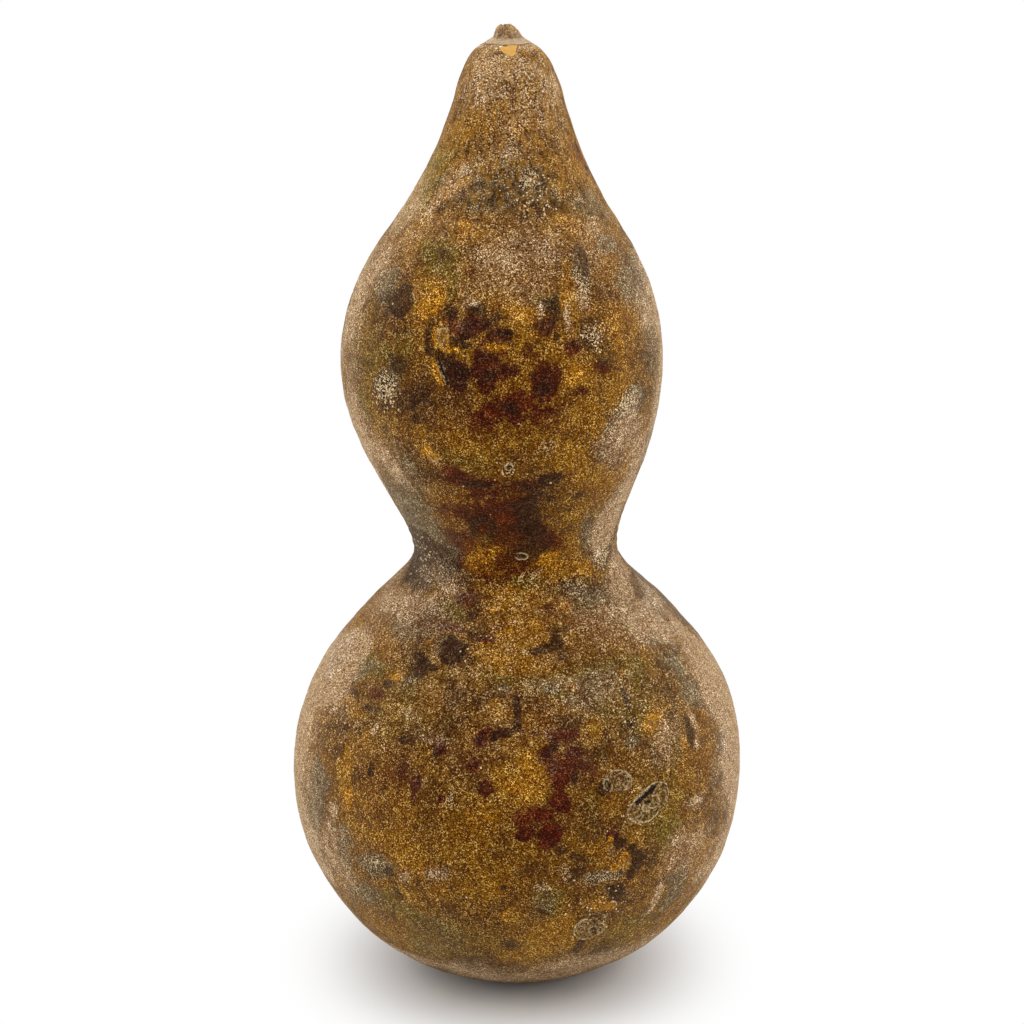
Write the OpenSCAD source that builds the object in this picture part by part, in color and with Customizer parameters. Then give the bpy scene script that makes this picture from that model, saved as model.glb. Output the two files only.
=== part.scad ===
// A whole, dried bottle gourd with two bulbs, a narrow waist and a broken stem.
// Sizes are in millimetres. The origin is the middle of the resting face, and +Z runs up to the stem.
// The rind and what lies inside it are lofts: rings of one outline, whose middles follow a bowed centre line.

/* [Resting face] */
// Width of the flat face that the gourd stands on
foot_d = 41; // [36:0.5:46]
// Lean of the rind where it leaves that face, from upright, in degrees
foot_lean = 80; // [70:1:84]
// Width of the hollow that the blossom left in the face
scar_d = 11; // [8:0.5:14]
// Depth of that hollow
scar_depth = 1.6; // [1:0.1:2.4]

/* [Lower bulb] */
// Widest width of the lower bulb
bulb_d = 142; // [130:1:156]
// Rise from the resting face to that width
bulb_rise = 65.5; // [60:0.5:72]
// Width of the lower bulb's shoulder
shoulder_d = 105; // [98:1:112]
// Rise from the widest width to the shoulder
shoulder_rise = 46.5; // [42:0.5:52]
// Lean of the shoulder towards the waist, from upright, in degrees
shoulder_lean = 38.5; // [32:0.5:44]

/* [Waist] */
// Least width, between the bulbs
waist_d = 63.5; // [58:0.5:70]
// Rise from the shoulder to the waist
waist_rise = 26; // [23:0.5:32]

/* [Upper bulb] */
// Widest width of the upper bulb
upper_d = 99; // [90:1:110]
// Rise from the waist to that width
upper_rise = 57; // [50:0.5:64]

/* [Neck and crown] */
// Width of the neck
neck_d = 69; // [62:0.5:74]
// Rise from the upper bulb's widest width to the neck
neck_rise = 45; // [40:0.5:52]
// Lean of the neck towards the crown, from upright, in degrees
neck_lean = 35; // [30:0.5:40]
// Width of the crown below its dome
crown_d = 32; // [29:0.5:36]
// Rise from the neck to the crown
crown_rise = 40; // [36:0.5:46]
// Lean of the crown, from upright, in degrees
crown_lean = 14.5; // [10:0.5:20]
// Rise of the dome above the crown
dome_rise = 15; // [13:0.5:18]
// Width of the flat seat under the stem
seat_d = 10; // [9.6:0.1:11]

/* [Bow of the centre line] */
// Shift of the shoulder's middle along X, from the middle of the lower bulb
shoulder_shift = 0.8; // [-1:0.1:2]
// Shift of the upper bulb's middle along X
upper_shift = -4.8; // [-7:0.1:0]
// Shift of the crown's middle along X
crown_shift = -2.5; // [-6:0.1:2]
// Shift of the seat's middle along X
seat_shift = -2.9; // [-6:0.1:2]

/* [Rind] */
// Thickness of the woody rind, from the resting face to the upper bulb
rind_t = 4.5; // [3.5:0.1:6]
// Thickness of the rind at the seat
crown_t = 6.5; // [4.5:0.1:7.5]

/* [Stem] */
// Width of the broken stem across its ridges
stem_d = 9.2; // [8.4:0.1:9.6]
// Height of the break's highest point above the seat
stem_rise = 5; // [3.5:0.1:9]
// Ridges around the stem
stem_ridges = 5; // [4:1:8]
// Depth of the grooves between them
groove_depth = 0.7; // [0.3:0.1:1]
// Width of the hole that the stem's root fills
root_hole_d = 7; // [6:0.1:7.6]
// Length of the root below the seat
root_length = 12; // [9:0.5:16]
// Width of the soft pith in the stem
pith_d = 2.4; // [1.6:0.1:3.2]

/* [Lining and pulp] */
// Thickness of the spongy lining
lining_t = 1.6; // [1:0.1:2.4]
// Length of bare rind above the lining, measured down from the crown
bare_neck = 18; // [10:1:30]
// Distance from a lobe's outer side to the lining, where its seeds lie
lobe_clear = 5.2; // [4.6:0.1:7]
// Thickness of the papery partitions
web_t = 1.2; // [0.8:0.1:2]
// Width of the soft core that the partitions meet at
core_d = 4; // [3:0.5:5]
// Height of the dried pulp in the upper bulb
upper_pulp_h = 86; // [70:1:96]
// Width of the fibres that hang from the root
strand_d = 1.2; // [0.8:0.1:1.6]
// Fibres that hang from the root
strand_count = 5; // [3:1:6]

/* [Seeds] */
// Length of a seed
seed_l = 14; // [11:0.5:16]
// Width of a seed at its shoulders
seed_w = 7; // [5:0.5:8]
// Thickness of a seed
seed_t = 2.4; // [1.8:0.1:2.8]
// Seeds in a row up each lobe
row_seeds = 5; // [3:1:6]
// Loose seeds in each third of the lower bulb
loose_in_sector = 3; // [1:1:3]

/* [Fits] */
// Gap between the rind and the lining
lining_gap = 0.2; // [0.1:0.05:0.4]
// Gap between a dried inner piece and what it rests on
rest_gap = 0.4; // [0.3:0.05:0.6]
// Gap between a lobe and the middle of a seed on it
seed_gap = 0.7; // [0.6:0.05:0.9]
// Gap all round a plug in its hole
plug_gap = 0.1; // [0.05:0.05:0.2]

/* [Hidden] */

// Heights above the resting face
bulb_z = bulb_rise;
shoulder_z = bulb_z + shoulder_rise;
waist_z = shoulder_z + waist_rise;
upper_z = waist_z + upper_rise;
neck_z = upper_z + neck_rise;
crown_z = neck_z + crown_rise;
seat_z = crown_z + dome_rise;
lining_top = crown_z - bare_neck;

// Facets around a ring, and rings on each of the outline's seven spans, outside and inside
skin_sides = 56;
skin_rings = [9, 8, 6, 7, 7, 6, 5];
inner_sides = 40;
inner_rings = [6, 5, 4, 4, 4, 3, 3];
lobe_sides = 16;
lobe_rings = 14;
lump_sides = 20;
lump_rings = 12;
round_fn = 48;

// A cut is made larger than what it cuts by this much
spare = 2;

// The outline's stations: [[radius, height], lean, pull below, pull above].
// A pull is the share of a span's height that the curve keeps the station's lean for.
stations = [
    [[foot_d / 2, 0], foot_lean, 0, 0.33],
    [[bulb_d / 2, bulb_z], 0, 0.59, 0.62],
    [[shoulder_d / 2, shoulder_z], -shoulder_lean, 0.11, 0.62],
    [[waist_d / 2, waist_z], 0, 0.31, 0.23],
    [[upper_d / 2, upper_z], 0, 0.44, 0.36],
    [[neck_d / 2, neck_z], -neck_lean, 0.44, 0.40],
    [[crown_d / 2, crown_z], -crown_lean, 0.35, 0.40],
    [[seat_d / 2, seat_z], -90, 0.40, 0]
];
spans = len(stations) - 1;

// The bow's stations: [height, shift along X]
bow = [
    [bulb_z, 0], [shoulder_z, shoulder_shift], [upper_z, upper_shift],
    [crown_z, crown_shift], [seat_z, seat_shift]
];

// 0 below 0, 1 above 1 and an even S between them
function ease(t) = let (s = min(max(t, 0), 1)) s * s * (3 - 2 * s);

// The direction of the outline that leans by an angle from upright, as [radial, up]
function direction(lean) = [sin(lean), cos(lean)];

// A point of the cubic curve from p to s with the handles q and r
function curve(p, q, r, s, t) =
    pow(1 - t, 3) * p + 3 * pow(1 - t, 2) * t * q + 3 * (1 - t) * t * t * r + pow(t, 3) * s;

// A point of the outline, on the span from station i to the next
function on_span(i, t) =
    let (a = stations[i], b = stations[i + 1], h = b[0][1] - a[0][1])
    curve(a[0], a[0] + a[3] * h * direction(a[1]), b[0] - b[2] * h * direction(b[1]), b[0], t);

// The outline's points from the foot to the seat, with the given number of rings on each span
function outline(rings) = concat(
    [for (i = [0 : spans - 1]) for (k = [0 : rings[i] - 1]) on_span(i, k / rings[i])],
    [stations[spans][0]]
);

// The outward normal of the outline at its point i
function normal(line, i) =
    let (
        before = i == 0 ? line[0] - direction(foot_lean) : line[i - 1],
        after = i == len(line) - 1 ? line[i] - [1, 0] : line[i + 1],
        along = (after - before) / norm(after - before)
    )
    [along[1], -along[0]];

// The rind's thickness at a height
function rind_at(z) = rind_t + (crown_t - rind_t) * ease((z - upper_z) / (seat_z - upper_z));

// The outline moved inwards through the rind and by more
function inside(more) =
    let (line = outline(inner_rings))
    [for (i = [0 : len(line) - 1]) line[i] - (rind_at(line[i][1]) + more) * normal(line, i)];

// The middle of the ring at a height, along X
function shift_at(z) =
    bow[0][1] + shift_part(z, 0) + shift_part(z, 1) + shift_part(z, 2) + shift_part(z, 3);
function shift_part(z, i) =
    (bow[i + 1][1] - bow[i][1]) * ease((z - bow[i][0]) / (bow[i + 1][0] - bow[i][0]));

// The radius of an outline's ring at a height
function radius_at(line, z) = lookup(z, [for (p = line) [p[1], p[0]]]);

rind_inside = inside(0);
lining_outside = inside(lining_gap);
lining_inside = inside(lining_gap + lining_t);
cavity_floor = lining_inside[0][1];

// A closed skin over rings of points, from the lowest ring to the highest
module skin(rings) {
    sides = len(rings[0]);
    top = len(rings) - 1;
    polyhedron(
        points = [for (ring = rings) each ring],
        faces = concat(
            [[for (k = [0 : sides - 1]) k]],
            [for (i = [0 : top - 1]) for (k = [0 : sides - 1])
                let (a = i * sides + k, b = i * sides + (k + 1) % sides)
                each [[a, a + sides, b + sides], [a, b + sides, b]]],
            [[for (k = [sides - 1 : -1 : 0]) top * sides + k]]
        ),
        convexity = 8
    );
}

// A round ring about the bowed centre line
function round_ring(p, sides) = [
    for (k = [0 : sides - 1])
        let (a = 360 * k / sides)
        [shift_at(p[1]) + p[0] * cos(a), p[0] * sin(a), p[1]]
];

module loft(line, sides) {
    skin([for (p = line) round_ring(p, sides)]);
}

// A block that takes away all below or above a height
module below(z) {
    translate([-bulb_d, -bulb_d, z - seat_z])
        cube([2 * bulb_d, 2 * bulb_d, seat_z]);
}
module above(z) {
    translate([-bulb_d, -bulb_d, z])
        cube([2 * bulb_d, 2 * bulb_d, seat_z]);
}

// The rind, with its flat face, the blossom's hollow and the hole for the stem's root
module woody_shell() color("sienna") {
    skirt = outline(skin_rings)[0] - foot_d / 4 * direction(foot_lean);
    difference() {
        loft(concat([skirt], outline(skin_rings)), skin_sides);
        loft(rind_inside, inner_sides);
        below(0);
        translate([0, 0, -spare])
            cylinder(d = scar_d, h = scar_depth + spare, $fn = round_fn);
        translate([seat_shift, 0, seat_z - 2 * crown_t])
            cylinder(d = root_hole_d, h = 2 * crown_t + spare, $fn = round_fn);
    }
}

// The stem's section: round, with grooves between its ridges
module stem_section() {
    steps = 8 * stem_ridges;
    polygon([
        for (k = [0 : steps - 1])
            let (
                a = 360 * k / steps,
                r = stem_d / 2 - groove_depth * (1 - cos(stem_ridges * a)) / 2
            )
            r * [cos(a), sin(a)]
    ]);
}

// The stub of the stem, broken across on three slants, with its root in the rind's hole
module stem_stub() color("peru") {
    slants = [[18, 20, 0], [26, 150, 0.5], [22, 265, 0.9]];
    translate([seat_shift, 0, seat_z])
        difference() {
            union() {
                linear_extrude(height = stem_rise + spare)
                    stem_section();
                translate([0, 0, -root_length])
                    cylinder(d = root_hole_d - 2 * plug_gap, h = root_length + 1, $fn = round_fn);
            }
            for (s = slants)
                rotate([0, 0, s[1]])
                    translate([0, 0, stem_rise - s[2]])
                        rotate([0, s[0], 0])
                            translate([-stem_d, -stem_d, 0])
                                cube([2 * stem_d, 2 * stem_d, 2 * stem_d]);
            translate([0, 0, -root_length - 1])
                cylinder(d = pith_d + 2 * plug_gap, h = root_length + stem_rise + spare, $fn = round_fn);
        }
}

// The soft pith in the stem, torn off at two thirds of the stem's height
module stem_pith() color("wheat") {
    torn = stem_rise / 3;
    translate([seat_shift, 0, seat_z - root_length])
        cylinder(d = pith_d, h = root_length + stem_rise - torn, $fn = round_fn);
}

// The corky button that the blossom left, seated in its hollow and clear of the floor
module blossom_scar() color("tan") {
    rim = scar_d / 2 - plug_gap;
    nub = scar_d / 8;
    edge_z = scar_depth / 2;
    dish_z = scar_depth / 3;
    nub_z = scar_depth / 6;
    rotate_extrude($fn = round_fn)
        polygon([
            [0, scar_depth], [rim, scar_depth], [rim, edge_z], [2 / 3 * rim, dish_z],
            [nub, dish_z], [2 / 3 * nub, nub_z], [0, nub_z]
        ]);
}

// The spongy lining on the rind's inside, up to the bare neck
module inner_lining() color("blanchedalmond") {
    difference() {
        loft(lining_outside, inner_sides);
        loft(lining_inside, inner_sides);
        above(lining_top);
    }
}

// Three pulp lobes fill the lower bulb, with a partition between each two
lobe_count = 3;
sector = 360 / lobe_count;
lobe_bottom = cavity_floor + rest_gap;
lobe_top = waist_z - web_t - lobe_clear;

// A lobe's inner side and half its width, as shares of the cavity's radius
lobe_from = 0.2;
lobe_half = 0.46;
// Share of its height where a lobe is fullest, and how full it stays at its ends
lobe_middle = 0.45;
lobe_end = 0.4;
// Unevenness of a lobe's side, as a share of its width, its waves around and its turn over the height
lobe_wave = 0.02;
lobe_waves = 3;
lobe_twist_angle = 500;

// How full a lobe is at a share of its height, tapering at both ends
function fullness(t) = max(lobe_end, sqrt(max(0, 1 - pow(2 * abs(t - lobe_middle), 3))));

// A point of a lobe's side: t is the share of its height, a the angle round its section and lift
// the distance out from it. The section is an ellipse in its third of the cavity.
function lobe_point(t, a, turn, lift) =
    let (
        z = lobe_bottom + t * (lobe_top - lobe_bottom),
        cavity = radius_at(lining_inside, z),
        outer = cavity - lobe_clear,
        inner = lobe_from * cavity,
        full = fullness(t) * (1 + lobe_wave * sin(lobe_waves * a + lobe_twist_angle * t)),
        depth = full * (outer - inner) / 2 + lift,
        width = full * lobe_half * cavity + lift,
        u = (outer + inner) / 2 + depth * cos(a),
        v = width * sin(a)
    )
    [shift_at(z) + u * cos(turn) - v * sin(turn), u * sin(turn) + v * cos(turn), z];

module pulp_lobe(turn) {
    skin([
        for (i = [0 : lobe_rings])
            [for (k = [0 : lobe_sides - 1]) lobe_point(i / lobe_rings, 360 * k / lobe_sides, turn, 0)]
    ]);
}

module pulp_lobe_1() color("burlywood") pulp_lobe(0);
module pulp_lobe_2() color("burlywood") pulp_lobe(sector);
module pulp_lobe_3() color("burlywood") pulp_lobe(2 * sector);

// Papery partitions between the lobes, which reach the lining and meet at a soft core
module partition_web() color("antiquewhite") {
    heights = [for (p = lining_inside) if (p[1] > lobe_bottom && p[1] < waist_z) p[1]];
    start = core_d / 2 - web_t / 2;
    for (i = [0 : lobe_count - 1]) {
        turn = sector * (i + 0.5);
        edge = [
            for (z = concat([lobe_bottom], heights, [waist_z]))
                [radius_at(lining_inside, z) - rest_gap + shift_at(z) * cos(turn), z]
        ];
        rotate([0, 0, turn])
            rotate([90, 0, 0])
                linear_extrude(height = web_t, center = true)
                    polygon(concat([[start, lobe_bottom]], edge, [[start, waist_z]]));
    }
    translate([0, 0, lobe_bottom + web_t])
        cylinder(d = core_d, h = waist_z - lobe_bottom, $fn = round_fn);
}

// A flat seed lying in XY about the origin, pointed at -X and square-shouldered at +X
module seed() {
    half = seed_w / 2;
    linear_extrude(height = seed_t, center = true)
        polygon([
            [-seed_l / 2, half * 0.35], [-seed_l * 0.3, half * 0.75], [seed_l * 0.3, half],
            [seed_l * 0.46, half * 0.85], [seed_l / 2, half * 0.3], [seed_l / 2, -half * 0.3],
            [seed_l * 0.46, -half * 0.85], [seed_l * 0.3, -half], [-seed_l * 0.3, -half * 0.75],
            [-seed_l / 2, -half * 0.35]
        ]);
}

// Lays a piece with its X along one direction and its Z along the normal to it and to another
module laid(at, along, across) {
    x = along / norm(along);
    normal_to = cross(along, across);
    z = normal_to / norm(normal_to);
    y = cross(z, x);
    multmatrix([
        [x[0], y[0], z[0], at[0]],
        [x[1], y[1], z[1], at[1]],
        [x[2], y[2], z[2], at[2]],
        [0, 0, 0, 1]
    ])
        children();
}

// Shares of a lobe's height where its lowest and highest seeds lie, and how far round the rows are
lowest_seed = 0.22;
highest_seed = 0.78;
row_angle = 42;

// Seeds in two rows up the outer side of a lobe, each flat against it
module lobe_seeds(turn) {
    step = 0.01;
    lift = seed_t / 2 + seed_gap;
    for (a = [-row_angle, row_angle])
        for (i = [0 : row_seeds - 1]) {
            t = lowest_seed + (highest_seed - lowest_seed) * i / (row_seeds - 1);
            at = lobe_point(t, a, turn, lift);
            laid(
                at,
                lobe_point(t + step, a, turn, lift) - at,
                at - lobe_point(t, a + 360 * step, turn, lift)
            )
                seed();
        }
}

module lobe_seeds_1() color("navajowhite") lobe_seeds(0);
module lobe_seeds_2() color("navajowhite") lobe_seeds(sector);
module lobe_seeds_3() color("navajowhite") lobe_seeds(2 * sector);

// Height of the loose seeds above the cavity's floor
loose_rise = 8;
// Angle kept free between two thirds' loose seeds, and the skew of one seed to the next
loose_free_angle = 40;
loose_skew_angle = 25;

// Loose seeds lying in the bowl of the lower bulb, under the lobes
module loose_seeds() color("wheat") {
    step = 0.5;
    z = cavity_floor + loose_rise;
    r = radius_at(lining_inside, z);
    slope = atan2(radius_at(lining_inside, z + step) - r, step);
    // A flat seed in a round bowl stands off it at its middle by its own sag and the gap
    rise = seed_l * seed_l / 8 / r + seed_gap;
    for (i = [0 : lobe_count - 1])
        for (k = [0 : loose_in_sector - 1]) {
            turn = sector * i + (sector - loose_free_angle) * (k - (loose_in_sector - 1) / 2) / 3;
            out = r - (seed_t / 2 + rise) * cos(slope);
            up = z + (seed_t / 2 + rise) * sin(slope);
            translate([shift_at(z) + out * cos(turn), out * sin(turn), up])
                rotate([0, 0, turn])
                    rotate([0, slope - 90, 0])
                        rotate([0, 0, loose_skew_angle * (k - 1)])
                            seed();
        }
}

// Rise of the upper pulp's foot above the waist
funnel_rise = 6;
upper_bottom = waist_z + funnel_rise;
upper_top = upper_bottom + upper_pulp_h;
// Shares of its height where the pulp leaves the lining and where it is fully shrunk
pulp_leaves = 0.1;
pulp_shrunk = 0.6;
// How much it shrinks, and its unevenness there, both as shares of the cavity's radius
pulp_shrink = 0.45;
pulp_wave = 0.08;
pulp_waves = 3;
pulp_twist_angle = 200;

// The dried pulp of the upper bulb: it rests in the funnel above the waist and shrinks away from the lining
module upper_pulp() color("burlywood") {
    skin([
        for (i = [0 : lump_rings])
            let (
                t = i / lump_rings,
                z = upper_bottom + t * upper_pulp_h,
                free = ease((t - pulp_leaves) / (pulp_shrunk - pulp_leaves)),
                cavity = radius_at(lining_inside, z) - rest_gap
            )
            [for (k = [0 : lump_sides - 1])
                let (
                    a = 360 * k / lump_sides,
                    wave = pulp_wave * sin(pulp_waves * a + pulp_twist_angle * t),
                    r = cavity * (1 - pulp_shrink * free) * (1 + wave * free)
                )
                [shift_at(z) + r * cos(a), r * sin(a), z]]
    ]);
}

// Dried fibres from the stem's root down to the upper pulp
module pulp_strands() color("khaki") {
    high = seat_z - root_length - rest_gap;
    low = upper_top + rest_gap;
    spread = 3 * strand_d;
    hold = root_hole_d / 2 - strand_d;
    for (k = [0 : strand_count - 1]) {
        a = 360 * k / strand_count;
        from = [shift_at(low) + spread * cos(a), spread * sin(a), low];
        to = [seat_shift + hold * cos(a), hold * sin(a), high];
        run = to - from;
        translate(from)
            rotate([0, acos(run[2] / norm(run)), atan2(run[1], run[0])])
                cylinder(d = strand_d, h = norm(run), $fn = round_fn);
    }
}

woody_shell();
stem_stub();
stem_pith();
blossom_scar();
inner_lining();
partition_web();
pulp_lobe_1();
pulp_lobe_2();
pulp_lobe_3();
lobe_seeds_1();
lobe_seeds_2();
lobe_seeds_3();
loose_seeds();
upper_pulp();
pulp_strands();
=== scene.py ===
"""A dried bottle gourd with two bulbs: its skin, broken stem, blossom's button, crusts and stains.

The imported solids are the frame. Each new piece is a surface worked out over the outline that the
solids have. Sizes in the tables are in millimetres and angles in degrees. A side angle is measured
round the gourd from its front, which faces -Y, and grows towards +X.
"""
import math

import bpy
import numpy as np
from bpy.props import FloatProperty, FloatVectorProperty, IntProperty, PointerProperty
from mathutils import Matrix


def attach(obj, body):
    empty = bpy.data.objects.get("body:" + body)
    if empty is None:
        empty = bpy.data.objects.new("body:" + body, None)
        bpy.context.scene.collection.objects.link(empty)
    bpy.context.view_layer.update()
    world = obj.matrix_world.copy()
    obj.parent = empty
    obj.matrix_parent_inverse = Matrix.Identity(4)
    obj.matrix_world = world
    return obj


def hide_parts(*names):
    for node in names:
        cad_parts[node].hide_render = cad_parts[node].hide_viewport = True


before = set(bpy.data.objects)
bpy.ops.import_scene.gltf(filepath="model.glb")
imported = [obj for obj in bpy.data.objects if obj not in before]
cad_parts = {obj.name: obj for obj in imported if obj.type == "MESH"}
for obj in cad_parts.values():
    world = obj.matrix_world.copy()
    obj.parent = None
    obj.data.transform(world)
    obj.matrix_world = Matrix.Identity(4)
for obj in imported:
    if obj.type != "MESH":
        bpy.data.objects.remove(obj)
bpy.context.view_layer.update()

bl_info = {
    "name": "Dried bottle gourd",
    "version": (1, 0, 0),
    "blender": (4, 5, 0),
    "location": "3D View > Sidebar > Gourd",
    "description": "Builds the skin, the stem and the marks of a dried two-bulb bottle gourd",
    "category": "Object",
}

MM = 0.001

# The outline's stations: radius, height, lean from upright, and the shares of the height of the span
# below and above for which the curve keeps that lean.
STATIONS = (
    (20.5, 0.0, 80.0, 0.0, 0.33),
    (71.0, 65.5, 0.0, 0.59, 0.62),
    (52.5, 112.0, -38.5, 0.11, 0.62),
    (31.75, 138.0, 0.0, 0.31, 0.23),
    (49.5, 195.0, 0.0, 0.44, 0.36),
    (34.5, 240.0, -35.0, 0.44, 0.40),
    (16.0, 280.0, -14.5, 0.35, 0.40),
    (5.0, 295.0, -90.0, 0.40, 0.0),
)
# The bowed centre line: height and shift along X.
BOW = ((65.5, 0.0), (112.0, 0.8), (195.0, -4.8), (280.0, -2.5), (295.0, -2.9))
WAIST, UPPER, NECK, CROWN, SEAT = 138.0, 195.0, 240.0, 280.0, 295.0
FOOT_RADIUS, SEAT_RADIUS, HOLE_RADIUS = 20.5, 5.0, 3.5
SCAR_RADIUS, SCAR_DEPTH = 5.5, 1.6
RIND, CROWN_RIND = 4.5, 6.5
ROOT_FOOT = 283.0

STAINS = ("mould", "ochre", "red", "grey", "olive", "orange", "dust", "salt")

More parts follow.
